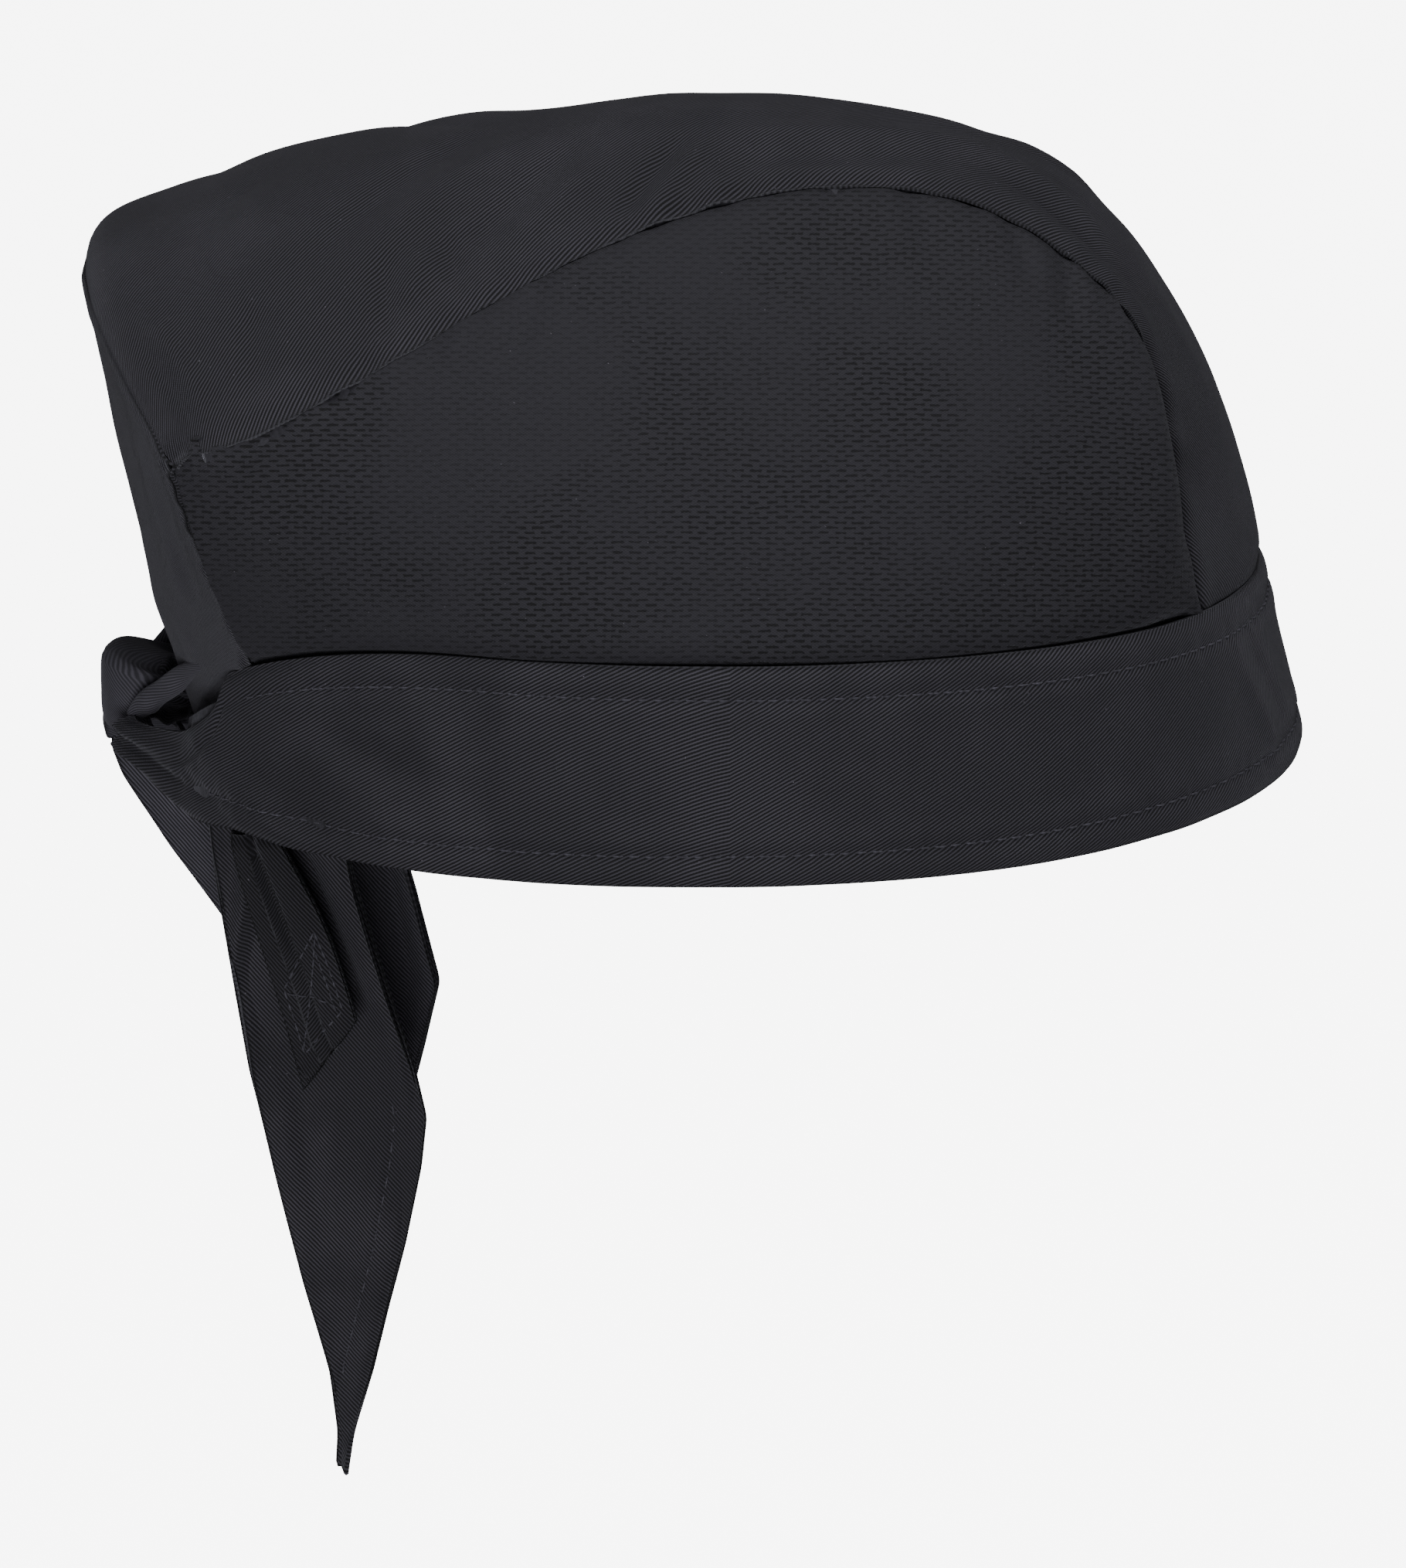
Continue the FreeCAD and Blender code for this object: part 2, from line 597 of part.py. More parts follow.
def hem_stitch(label, away, belly, tip, length, shares):
    """A line of thread a hem's width inside a tail's front edge."""
    corners = []
    for (top_share, foot_share), inset in ((shares, {"hem": 1}),
                                           (shares[::-1], {"hem": 1, "thread_width": 1})):
        for share, nearness in ((top_share, 0.0 if top_share < foot_share else 0.75),
                                (foot_share, 0.75 if top_share < foot_share else 0.0)):
            place = added(from_rear({belly: 1 - nearness}), {tip: nearness}, inset)
            corners.append((place, below(length, share)))
    padded_part(label, "YZ_Plane", away, {"thread_proud": 1, "ply_gap": -0.33}, corners)


hem_stitch("tail_right_hem_stitch", {"right_x": -1, "ply_pair": -0.5, "thread_proud": -1},
           "right_belly_back", "right_tip_back", "right_length", (0.46, 0.84))
hem_stitch("tail_left_hem_stitch", {"left_x": 1, "ply_pair": 0.5, "ply_gap": 0.33},
           "left_belly_back", "left_tip_back", "left_length", (0.52, 0.86))

STRAP_TOP = {"fold_top": -1, "fold_height": -0.58}
STRAP_PLANE = {"strap_x": -1}
STRAP_FRONT = from_rear({"strap_top_back": 1, "strap_width": -0.42})
STRAP_REAR = from_rear({"strap_top_back": 1, "strap_width": 0.42})
FRONT_END = from_rear({"strap_top_back": 1, "strap_slant": -1, "strap_width": -0.32})
REAR_END = from_rear({"strap_top_back": 1, "strap_slant": -0.6})
two_plies("strap", STRAP_PLANE, [
    (STRAP_FRONT, STRAP_TOP),
    (FRONT_END, added(STRAP_TOP, {"strap_length": -0.72})),
    (REAR_END, added(STRAP_TOP, {"strap_length": -1})),
    (STRAP_REAR, STRAP_TOP)])


def strap_place(across, down):
    """A point on the strap: across 0 at the front edge to 1 at the rear, down 0 to 1."""
    front = added(times(STRAP_FRONT, 1 - down), times(FRONT_END, down))
    rear = added(times(STRAP_REAR, 1 - down), times(REAR_END, down))
    height = added(STRAP_TOP, {"strap_length": -down * (0.72 + 0.28 * across)})
    return added(times(front, 1 - across), times(rear, across)), height


def strap_loop(edge):
    return [strap_place(edge, 0.62 + edge * 0.3), strap_place(1 - edge, 0.62 + edge * 0.3),
            strap_place(1 - edge, 0.95 - edge * 0.3), strap_place(edge, 0.95 - edge * 0.3)]


padded_part("strap_box_stitch", "YZ_Plane",
            {"strap_x": -1, "ply_pair": -0.5, "thread_proud": -1},
            {"thread_proud": 1, "ply_gap": -0.33}, strap_loop(0.14), strap_loop(0.2))

# ---- care label --------------------------------------------------------------------------------

LABEL_ANGLE = -124.0
HALF_LABEL = math.degrees(size("label_width") / 2.0 / size("rim_half_length"))
shape_part("care_label", band_sheet(
    LABEL_ANGLE - HALF_LABEL, LABEL_ANGLE + HALF_LABEL, lambda angle: rise_at(angle, 7.0),
    lambda angle: rise_at(angle, 7.0 + size("label_height")),
    SWEAT_FACE, SWEAT_FACE + size("ply_gap") * 2))

# ---- checks and output -------------------------------------------------------------------------

DOC.recompute()
for item in DOC.Objects:
    if "Invalid" in item.State or "Error" in item.State:
        raise RuntimeError("failed feature: " + item.Name)
for feature in PARTS:
    if feature.Shape.isNull() or not feature.Shape.isValid() or not feature.Shape.Solids:
        raise RuntimeError("bad shape: " + feature.Label)

os.makedirs("parts", exist_ok=True)
for feature in PARTS:
    feature.Shape.exportStep(os.path.join("parts", feature.Label + ".step"))
    box = feature.Shape.BoundBox
    print("%-24s %9.1f mm3  x %6.1f %6.1f  y %6.1f %6.1f  z %6.1f %6.1f" % (
        feature.Label, feature.Shape.Volume, box.XMin, box.XMax, box.YMin, box.YMax,
        box.ZMin, box.ZMax))
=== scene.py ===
import math

import bpy
import numpy as np
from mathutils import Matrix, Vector


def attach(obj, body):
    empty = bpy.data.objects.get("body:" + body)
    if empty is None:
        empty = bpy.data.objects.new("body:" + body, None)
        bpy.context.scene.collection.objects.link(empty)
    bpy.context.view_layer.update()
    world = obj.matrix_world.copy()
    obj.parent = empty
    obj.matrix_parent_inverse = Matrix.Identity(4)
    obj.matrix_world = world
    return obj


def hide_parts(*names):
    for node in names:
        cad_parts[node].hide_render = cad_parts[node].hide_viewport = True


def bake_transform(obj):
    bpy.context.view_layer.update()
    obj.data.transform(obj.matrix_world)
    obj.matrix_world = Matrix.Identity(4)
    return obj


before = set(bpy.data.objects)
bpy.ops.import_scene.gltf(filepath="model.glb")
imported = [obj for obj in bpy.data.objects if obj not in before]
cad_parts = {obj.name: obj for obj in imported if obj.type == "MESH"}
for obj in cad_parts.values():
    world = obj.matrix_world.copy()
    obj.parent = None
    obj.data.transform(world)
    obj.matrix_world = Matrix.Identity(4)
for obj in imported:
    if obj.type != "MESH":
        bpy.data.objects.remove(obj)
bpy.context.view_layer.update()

# Chef's bandana cap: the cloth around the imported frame. Lengths in the shape functions are
# millimetres, as in the CAD source, and turn to metres where a mesh is made. The front of the cap
# faces -Y, the wearer's right is -X, up is +Z, and the origin is the centre of the head opening.

MM = 0.001
RNG = np.random.default_rng(11)

# ---- sizes the cloth shares with the CAD model --------------------------------------------------

RIM_HALF_LENGTH, RIM_HALF_WIDTH = 102.0, 80.0
BAND_HEIGHT, BAND_FRONT_DROP = 38.0, 4.5
BAND_LEAN_FRONT, BAND_LEAN_SIDE, BAND_BELLY = 8.0, 4.0, 0.8
TIE_HEIGHT, TIE_SAG = 11.0, 3.0
GATHER_START, BAND_END = 112.0, 170.0
CROWN_HEIGHT = 115.5
PANEL_FRONT_ANGLE, PANEL_REAR_ANGLE = 30.7, 143.0
SIDE_FULLNESS, BACK_FULLNESS, BACK_FOOT_INSET = 0.115, 1.0, 5.8
FRONT_ROUNDNESS, REAR_ROUNDNESS, GATHER_POWER = 2.0, 2.4, 2.0
SAG_START, SAG_FULL = 140.0, 160.0
TWILL, MESH_KNIT, LINING, TERRY = 0.9, 1.1, 0.7, 1.4
PLY_GAP = 0.15                      # air between the layers of the band

# Each row: ridge y, ridge height, seam x, seam y, seam height, foot angle of the side panel.
STATIONS = (
    (-0.884, 0.150, 0.425, -0.752, 0.234, 36.0),
    (-0.832, 0.345, 0.388, -0.729, 0.424, 39.5),
    (-0.756, 0.540, 0.350, -0.696, 0.575, 43.5),
    (-0.648, 0.748, 0.313, -0.618, 0.697, 50.0),
    (-0.470, 0.900, 0.281, -0.455, 0.828, 61.5),
    (-0.206, 0.985, 0.288, -0.199, 0.901, 78.0),
    (0.050, 1.000, 0.369, 0.048, 0.867, 93.0),
    (0.323, 0.965, 0.525, 0.313, 0.760, 106.0),
    (0.608, 0.908, 0.669, 0.571, 0.599, 121.0),
    (0.860, 0.828, 0.750, 0.785, 0.463, 134.0),
    (0.985, 0.766, 0.765, 0.865, 0.434, 139.5),
    (1.090, 0.688, 0.773, 0.903, 0.418, 142.6),
)
REAR_EDGE = (1.104, 0.645, 0.770, 0.920, 0.395)


# ---- curves and surfaces ------------------------------------------------------------------------

def signed_power(value, power):
    return np.sign(value) * np.abs(value) ** power


def ease(value):
    value = np.clip(value, 0.0, 1.0)
    return value * value * (3.0 - 2.0 * value)


def stack(x, y, z):
    return np.stack(np.broadcast_arrays(x, y, z), axis=-1)


def sweep(rows, columns):
    """Two grids of values: one runs with the rows, one with the columns, as (first, last, count)."""
    return np.meshgrid(np.linspace(*rows), np.linspace(*columns), indexing="ij")


def unit(vectors):
    return vectors / np.maximum(np.linalg.norm(vectors, axis=-1, keepdims=True), 1e-9)


def smooth_curve(places, points):
    """A natural cubic spline that passes each point at its place."""
    places, points = np.asarray(places, float), np.asarray(points, float)
    gaps, last = np.diff(places), len(places) - 1
    system, pull = np.eye(last + 1), np.zeros_like(points)
    for i in range(1, last):
        system[i, i - 1:i + 2] = gaps[i - 1], 2 * (gaps[i - 1] + gaps[i]), gaps[i]
        pull[i] = 6 * ((points[i + 1] - points[i]) / gaps[i]
                       - (points[i] - points[i - 1]) / gaps[i - 1])
    bends = np.linalg.solve(system, pull)

    def at(place):
        place = np.asarray(place, float)
        i = np.clip(np.searchsorted(places, place) - 1, 0, last - 1)
        before = ((places[i + 1] - place) / gaps[i])[..., None]
        after = 1.0 - before
        bend = (before ** 3 - before) * bends[i] + (after ** 3 - after) * bends[i + 1]
        return before * points[i] + after * points[i + 1] + bend * (gaps[i] ** 2 / 6)[..., None]
    return at


def band_edges(angle):
    """Heights of the band's lower and upper edges at angles from the front, in degrees."""
    turn = np.abs(angle)
    front = np.maximum(np.cos(np.radians(turn)), 0.0)
    gathered = np.clip((turn - GATHER_START) / (BAND_END - GATHER_START), 0.0, 1.0)
    top = BAND_HEIGHT - BAND_FRONT_DROP * front ** 2
    top = top - (BAND_HEIGHT - (TIE_HEIGHT - TIE_SAG)) * gathered ** GATHER_POWER
    return -TIE_SAG * ease((turn - SAG_START) / (SAG_FULL - SAG_START)), top


def band_point(angle, rise, depth=0.0):
    """A point of the band: rise 0 to 1 from rim to top seam, depth inwards from its face."""
    angle = np.asarray(angle, float)
    sine, cosine = np.sin(np.radians(angle)), np.cos(np.radians(angle))
    roundness = np.where(cosine > 0, FRONT_ROUNDNESS, REAR_ROUNDNESS)
    gathered = np.clip((np.abs(angle) - GATHER_START) / (BAND_END - GATHER_START), 0.0, 1.0)
    lean = BAND_LEAN_SIDE * (1.0 - 0.7 * gathered)
    lean = lean + (BAND_LEAN_FRONT - BAND_LEAN_SIDE) * np.maximum(cosine, 0.0) ** 2
    inward = depth + lean * rise - BAND_BELLY * 4.0 * rise * (1.0 - rise)
    bottom, top = band_edges(angle)
    return stack(-(RIM_HALF_WIDTH - inward) * signed_power(sine, 2.0 / roundness),
                 -(RIM_HALF_LENGTH - inward) * signed_power(cosine, 2.0 / roundness),
                 bottom + (top - bottom) * rise)


def share_to_point(x_share, y_share, height_share):
    return np.array([x_share * RIM_HALF_WIDTH, y_share * RIM_HALF_LENGTH,
                     BAND_HEIGHT + height_share * (CROWN_HEIGHT - BAND_HEIGHT)])


FLIP = np.array([-1.0, 1.0, 1.0])
RIDGE_POINTS = np.array([band_point(0.0, 1.0)] + [share_to_point(0.0, r[0], r[1]) for r in STATIONS]
                        + [share_to_point(0.0, REAR_EDGE[0], REAR_EDGE[1])])
SEAM_POINTS = np.array([band_point(PANEL_FRONT_ANGLE, 1.0) * FLIP]
                       + [share_to_point(*r[2:5]) for r in STATIONS]
                       + [share_to_point(*REAR_EDGE[2:5])])
FOOT_ANGLES = [PANEL_FRONT_ANGLE] + [r[5] for r in STATIONS] + [PANEL_REAR_ANGLE]
PLACES = np.concatenate([[0.0], np.cumsum(np.linalg.norm(np.diff(RIDGE_POINTS, axis=0), axis=1))])
EDGE_PLACE = PLACES[-1]
RIDGE = smooth_curve(PLACES, RIDGE_POINTS)
SEAM = smooth_curve(PLACES, SEAM_POINTS)
FOOT = smooth_curve(PLACES, np.array(FOOT_ANGLES)[:, None])


def top_point(place, across):
    """Top panel: across from -1 at the right seam to 1 at the left."""
    ridge, seam = RIDGE(place), SEAM(place)
    share = across * across
    return stack(seam[..., 0] * across, ridge[..., 1] + (seam[..., 1] - ridge[..., 1]) * share,
                 ridge[..., 2] + (seam[..., 2] - ridge[..., 2]) * share)


def side_foot(place):
    return band_point(FOOT(place)[..., 0], 1.0) * FLIP


def side_point(place, rise):
    """Left mesh side: rise 0 on the band to 1 on the top panel's seam."""
    foot, seam = side_foot(place), SEAM(place)
    chord = seam - foot
    length = np.linalg.norm(chord, axis=-1)[..., None]
    out = foot * [1 / RIM_HALF_WIDTH, 1 / RIM_HALF_LENGTH, 0.0] + [0.0, 0.0, 0.5]
    out = out - chord * ((out * chord).sum(-1)[..., None] / length ** 2)
    out = out / np.linalg.norm(out, axis=-1)[..., None]
    fullness = SIDE_FULLNESS * (1.0 - 0.75 * ease(place / EDGE_PLACE * 3.0 - 2.0))
    rise = np.asarray(rise)[..., None]
    return foot + chord * rise + out * (fullness[..., None] * length * 4 * rise * (1 - rise))


def back_point(across, fall):
    """Back panel: across -1 at the right seam to 1 at the left, fall 0 at the top to 1."""
    top = top_point(np.full_like(across, EDGE_PLACE), across)
    turn = 180.0 - (180.0 - PANEL_REAR_ANGLE) * np.abs(across)
    foot = band_point(turn, 1.0, BACK_FOOT_INSET * (1.0 - across * across))
    foot[..., 0] = np.copysign(foot[..., 0], across)
    point = top + (foot - top) * fall[..., None]
    point[..., 1] += BACK_FULLNESS * 4.0 * fall * (1.0 - fall) * (1.0 - 0.5 * across * across)
    return point


# ---- making meshes ------------------------------------------------------------------------------

CAP_MIDDLE = np.array([0.0, 0.0, 45.0])


def face_normals(grid, facing):
    """Unit normals of a grid of points, all on the side that facing points to."""
    normal = unit(np.cross(np.gradient(grid, axis=0), np.gradient(grid, axis=1)))
    return normal * (1.0 if (normal * facing).sum() > 0 else -1.0)


def rim_of(rows, columns):
    """The (row, column) pairs round a grid's border, in order."""
    top = [(0, j) for j in range(columns)]
    right = [(i, columns - 1) for i in range(1, rows)]
    bottom = [(rows - 1, j) for j in range(columns - 2, -1, -1)]
    left = [(i, 0) for i in range(rows - 2, 0, -1)]
    return np.array(top + right + bottom + left)


def add_mesh(name, points, faces, material, cloth_uv=None):
    """A smooth mesh object from points in millimetres."""
    mesh = bpy.data.meshes.new(name)
    mesh.from_pydata((np.asarray(points) * MM).tolist(), [], faces)
    if cloth_uv is not None:
        layer = mesh.uv_layers.new(name="cloth")
        corners = np.zeros(len(mesh.loops), dtype=np.int32)
        mesh.loops.foreach_get("vertex_index", corners)
        layer.data.foreach_set("uv", (np.asarray(cloth_uv)[corners] * MM).ravel())
    mesh.shade_smooth()
    mesh.materials.append(material)
    piece = bpy.data.objects.new(name, mesh)
    bpy.context.scene.collection.objects.link(piece)
    return piece


def cloth(name, outer, thickness, uv, facing, material):
    """A sheet of cloth with rounded edges: outer is its outer face as a grid of points."""
    rows, columns = outer.shape[:2]
    normal = face_normals(outer, facing)
    inner = outer - normal * thickness
    rim = rim_of(rows, columns)
    inside = np.clip(rim, 1, [rows - 2, columns - 2])
    edge = outer[rim[:, 0], rim[:, 1]]
    away = unit(edge - outer[inside[:, 0], inside[:, 1]])
    middle = (edge + inner[rim[:, 0], rim[:, 1]]) / 2 + away * thickness * 0.4
    number = np.arange(rows * columns).reshape(rows, columns)
    quads = np.stack([number[:-1, :-1], number[1:, :-1], number[1:, 1:], number[:-1, 1:]], -1)
    turned = (np.cross(np.gradient(outer, axis=0), np.gradient(outer, axis=1)) * normal).sum() < 0
    front = quads.reshape(-1, 4)[:, ::-1 if turned else 1]
    back = front[:, ::-1] + rows * columns
    first = 2 * rows * columns
    outside, rim_number = number[rim[:, 0], rim[:, 1]], first + np.arange(len(rim))
    after, rim_after = np.roll(outside, -1), np.roll(rim_number, -1)
    over = np.stack([outside, rim_number, rim_after, after], -1)
    under = np.stack([rim_number, outside + rows * columns, after + rows * columns, rim_after], -1)
    sides = np.concatenate([over, under])
    if turned:
        sides = sides[:, ::-1]
    faces = np.concatenate([front, back, sides]).tolist()
    points = np.concatenate([outer.reshape(-1, 3), inner.reshape(-1, 3), middle])
    flat_uv = uv.reshape(-1, 2)
    return add_mesh(name, points, faces, material,
                    np.concatenate([flat_uv, flat_uv, uv[rim[:, 0], rim[:, 1]]]))


def fold(s, t, start, end, width, height):
    """A fold along a line on a panel, in the panel's own millimetres: height above the cloth."""
    start, run = np.array(start, float), np.subtract(end, start).astype(float)
    length = np.linalg.norm(run)
    along = ((s - start[0]) * run[0] + (t - start[1]) * run[1]) / length ** 2
    beside = ((s - start[0]) * run[1] - (t - start[1]) * run[0]) / length
    fade = ease((along + 0.2) / 0.5) * ease((1.2 - along) / 0.5)
    return height * np.exp(-(beside / width) ** 2) * fade


def folded(relief, s, t, folds):
    """The relief with folds added, each given as a start, an end, a width and a height."""
    for start, end, width, height in folds:
        relief = relief + fold(s, t, start, end, width, height)
    return relief


def ripples(s, t, wavelength, height, count=7):
    """Soft uneven waves over a panel, from seeded directions and phases."""
    total = 0.0
    for _ in range(count):
        turn, phase = RNG.uniform(0, math.pi), RNG.uniform(0, 2 * math.pi)
        pitch = wavelength * RNG.uniform(0.7, 1.5)
        total = total + np.sin((s * math.cos(turn) + t * math.sin(turn)) * 2 * math.pi / pitch
                               + phase)
    return total * height / math.sqrt(count)


def uneven(t, wavelength, count=6):
    """A seeded wave along one direction, between about -1 and 1."""
    total = 0.0
    for _ in range(count):
        pitch, phase = wavelength * RNG.uniform(0.6, 1.8), RNG.uniform(0, 2 * math.pi)
        total = total + np.sin(t * 2 * math.pi / pitch + phase)
    return total / math.sqrt(count)


def near(distance, width):
    return np.exp(-(distance / width) ** 2)


STITCH_SIDES, STITCH_RINGS = 6, 5


def stitches(name, centres, runs, outs, length, thick, material):
    """Short stitches that dive into the cloth at both ends, as one mesh."""
    runs = unit(runs)
    outs = unit(outs - runs * (outs * runs).sum(-1, keepdims=True))
    sides = np.cross(runs, outs)
    points, faces = [], []
    ring_turns = np.arange(STITCH_SIDES) * 2 * math.pi / STITCH_SIDES
    for step in np.linspace(-1, 1, STITCH_RINGS):
        bulge = math.sqrt(max(1.0 - 0.72 * step * step, 0.0)) * thick / 2
        middle = (centres + runs * (step * length / 2)
                  + outs * (thick * (0.42 - 0.75 * step * step)))
        for turn in ring_turns:
            points.append(middle + (outs * math.cos(turn) + sides * math.sin(turn)) * bulge)
    per_stitch = STITCH_SIDES * STITCH_RINGS
    points = np.stack(points, axis=1).reshape(-1, 3)
    template = []
    for ring in range(STITCH_RINGS - 1):
        for side in range(STITCH_SIDES):
            a, b = ring * STITCH_SIDES + side, ring * STITCH_SIDES + (side + 1) % STITCH_SIDES
            template.append((a, b, b + STITCH_SIDES, a + STITCH_SIDES))
    template.append(tuple(range(STITCH_SIDES))[::-1])
    template.append(tuple(range(per_stitch - STITCH_SIDES, per_stitch)))
    for index in range(len(centres)):
        faces += [tuple(corner + index * per_stitch for corner in face) for face in template]
    return add_mesh(name, points, faces, material)


def row_of_stitches(name, line, outs, pitch, thick, material, share=0.74):
    """Stitches at an even pitch along a line of points, with the cloth's outward directions."""
    travelled = np.concatenate([[0.0], np.cumsum(np.linalg.norm(np.diff(line, axis=0), axis=1))])
    count = max(int(travelled[-1] / pitch), 1)
    places = (np.arange(count) + 0.5) * travelled[-1] / count

    def read(values, at):
        return np.stack([np.interp(at, travelled, values[:, k]) for k in range(3)], axis=1)

    runs = read(line, places + pitch * 0.4) - read(line, places - pitch * 0.4)
    return stitches(name, read(line, places), runs, read(outs, places), pitch * share, thick,
                    material)


def join(piece, body, node):
    """Puts a piece on its body, in the place of its CAD node, which it hides."""
    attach(piece, body)
    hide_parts(node)


# ---- materials ----------------------------------------------------------------------------------

class Nodes:
    """Short calls for building one material's node tree."""

    def __init__(self, name):
        self.material = bpy.data.materials.new(name)
        self.material.use_nodes = True
        self.tree = self.material.node_tree
        self.tree.nodes.clear()

    def add(self, kind, **settings):
        node = self.tree.nodes.new(kind)
        for key, value in settings.items():
            setattr(node, key, value)
        return node

    def link(self, source, target):
        if isinstance(source, (int, float, tuple)):
            target.default_value = source
        else:
            self.tree.links.new(source, target)

    def feed(self, node, **sources):
        for name, source in sources.items():
            self.link(source, node.inputs[name.replace("_", " ")])

    def math(self, operation, *inputs):
        node = self.add("ShaderNodeMath", operation=operation)
        for index, source in enumerate(inputs):
            self.link(source, node.inputs[index])
        return node.outputs[0]

    def times(self, first, *others):
        for other in others:
            first = self.math("MULTIPLY", first, other)
        return first

    def plus(self, first, second):
        return self.math("ADD", first, second)

    def wave(self, turns):
        """A sine between 0 and 1 that repeats with each turn."""
        return self.plus(self.times(self.math("SINE", self.times(turns, 2 * math.pi)), 0.5), 0.5)

    def spread(self, value, low, high, out_low=0.0, out_high=1.0):
        node = self.add("ShaderNodeMapRange", interpolation_type="SMOOTHSTEP")
        for index, source in enumerate((value, low, high, out_low, out_high)):
            self.link(source, node.inputs[index])
        return node.outputs[0]

    def noise(self, place, scale, detail=2.0, roughness=0.5):
        node = self.add("ShaderNodeTexNoise")
        self.feed(node, Vector=place, Scale=scale, Detail=detail, Roughness=roughness)
        return node.outputs["Fac"]

    def wander(self, place, scale, detail, reach):
        """Noise that is centred on zero."""
        return self.times(self.math("SUBTRACT", self.noise(place, scale, detail), 0.5), reach)

    def blend(self, share, first, second):
        node = self.add("ShaderNodeMix", data_type="RGBA")
        self.link(share, node.inputs["Factor"])
        self.link(first, node.inputs["A"])
        self.link(second, node.inputs["B"])
        return node.outputs["Result"]

    def linted(self, place, colour, share, fleck):
        """The colour with sparse pale flecks of lint."""
        lint = self.spread(self.noise(place, 1450.0, 1.0), 0.80, 0.84)
        return self.blend(self.times(lint, share), colour, fleck)

    def cloth_place(self):
        """The cloth's own u and v, in metres."""
        split = self.add("ShaderNodeSeparateXYZ")
        self.link(self.add("ShaderNodeUVMap", uv_map="cloth").outputs["UV"], split.inputs[0])
        return split.outputs[0], split.outputs[1]

    def object_place(self):
        return self.add("ShaderNodeTexCoord").outputs["Object"]

    def finish(self, colour, height, depth, roughness, sheen, sheen_tint):
        """Ends the tree in a Principled shader whose bump is depth metres deep."""
        bump = self.add("ShaderNodeBump")
        self.feed(bump, Strength=1.0, Distance=depth, Height=height)
        shader = self.add("ShaderNodeBsdfPrincipled")
        self.feed(shader, Base_Color=colour, Roughness=roughness, Normal=bump.outputs["Normal"],
                  Specular_IOR_Level=0.22, Sheen_Weight=sheen, Sheen_Roughness=0.45,
                  Sheen_Tint=sheen_tint)
        self.link(shader.outputs[0], self.add("ShaderNodeOutputMaterial").inputs[0])
        return self.material


FUZZ_TINT = (0.82, 0.82, 0.95, 1.0)


def shade(level, warmth=0.0):
    """A near-black cloth colour with a slight violet cast."""
    return (level * (1.0 + warmth), level * 0.965, level * (1.22 - warmth), 1.0)


def twill(name, pitch, turn, groove, ridge, worn=0.5, depth=0.00012):
    """Diagonal-ribbed cotton: wales a pitch apart that run at turn degrees on the cloth."""
    n = Nodes(name)
    u, v = n.cloth_place()
    place = n.object_place()
    angle = math.radians(turn)
    across = n.plus(n.times(u, -math.sin(angle) / pitch), n.times(v, math.cos(angle) / pitch))
    along = n.plus(n.times(u, math.cos(angle) / pitch), n.times(v, math.sin(angle) / pitch))
    across = n.plus(across, n.wander(place, 170.0, 3.0, 0.55))
    wale = n.wave(across)
    yarn = n.wave(n.plus(n.times(along, 1.7), n.times(across, 0.9)))
    fibre = n.noise(place, 2600.0, 3.0, 0.65)
    height = n.plus(n.times(wale, 0.62), n.plus(n.times(yarn, wale, 0.26), n.times(fibre, 0.34)))
    patches = n.spread(n.noise(place, 34.0, 4.0, 0.6), 0.36, 0.68)
    tone = n.spread(height, 0.28, 0.98)
    colour = n.blend(tone, shade(groove), shade(ridge))
    colour = n.blend(n.times(patches, worn, tone), colour, shade(ridge * 1.55, 0.02))
    colour = n.linted(place, colour, 0.5, shade(0.16, 0.04))
    roughness = n.spread(fibre, 0.2, 0.8, 0.78, 0.95)
    return n.finish(colour, height, depth, roughness, 0.07, FUZZ_TINT)


SLOT_ROWS, SLOT_COLUMNS, RIBS = 0.00092, 0.0029, 0.00062    # metres from one to the next


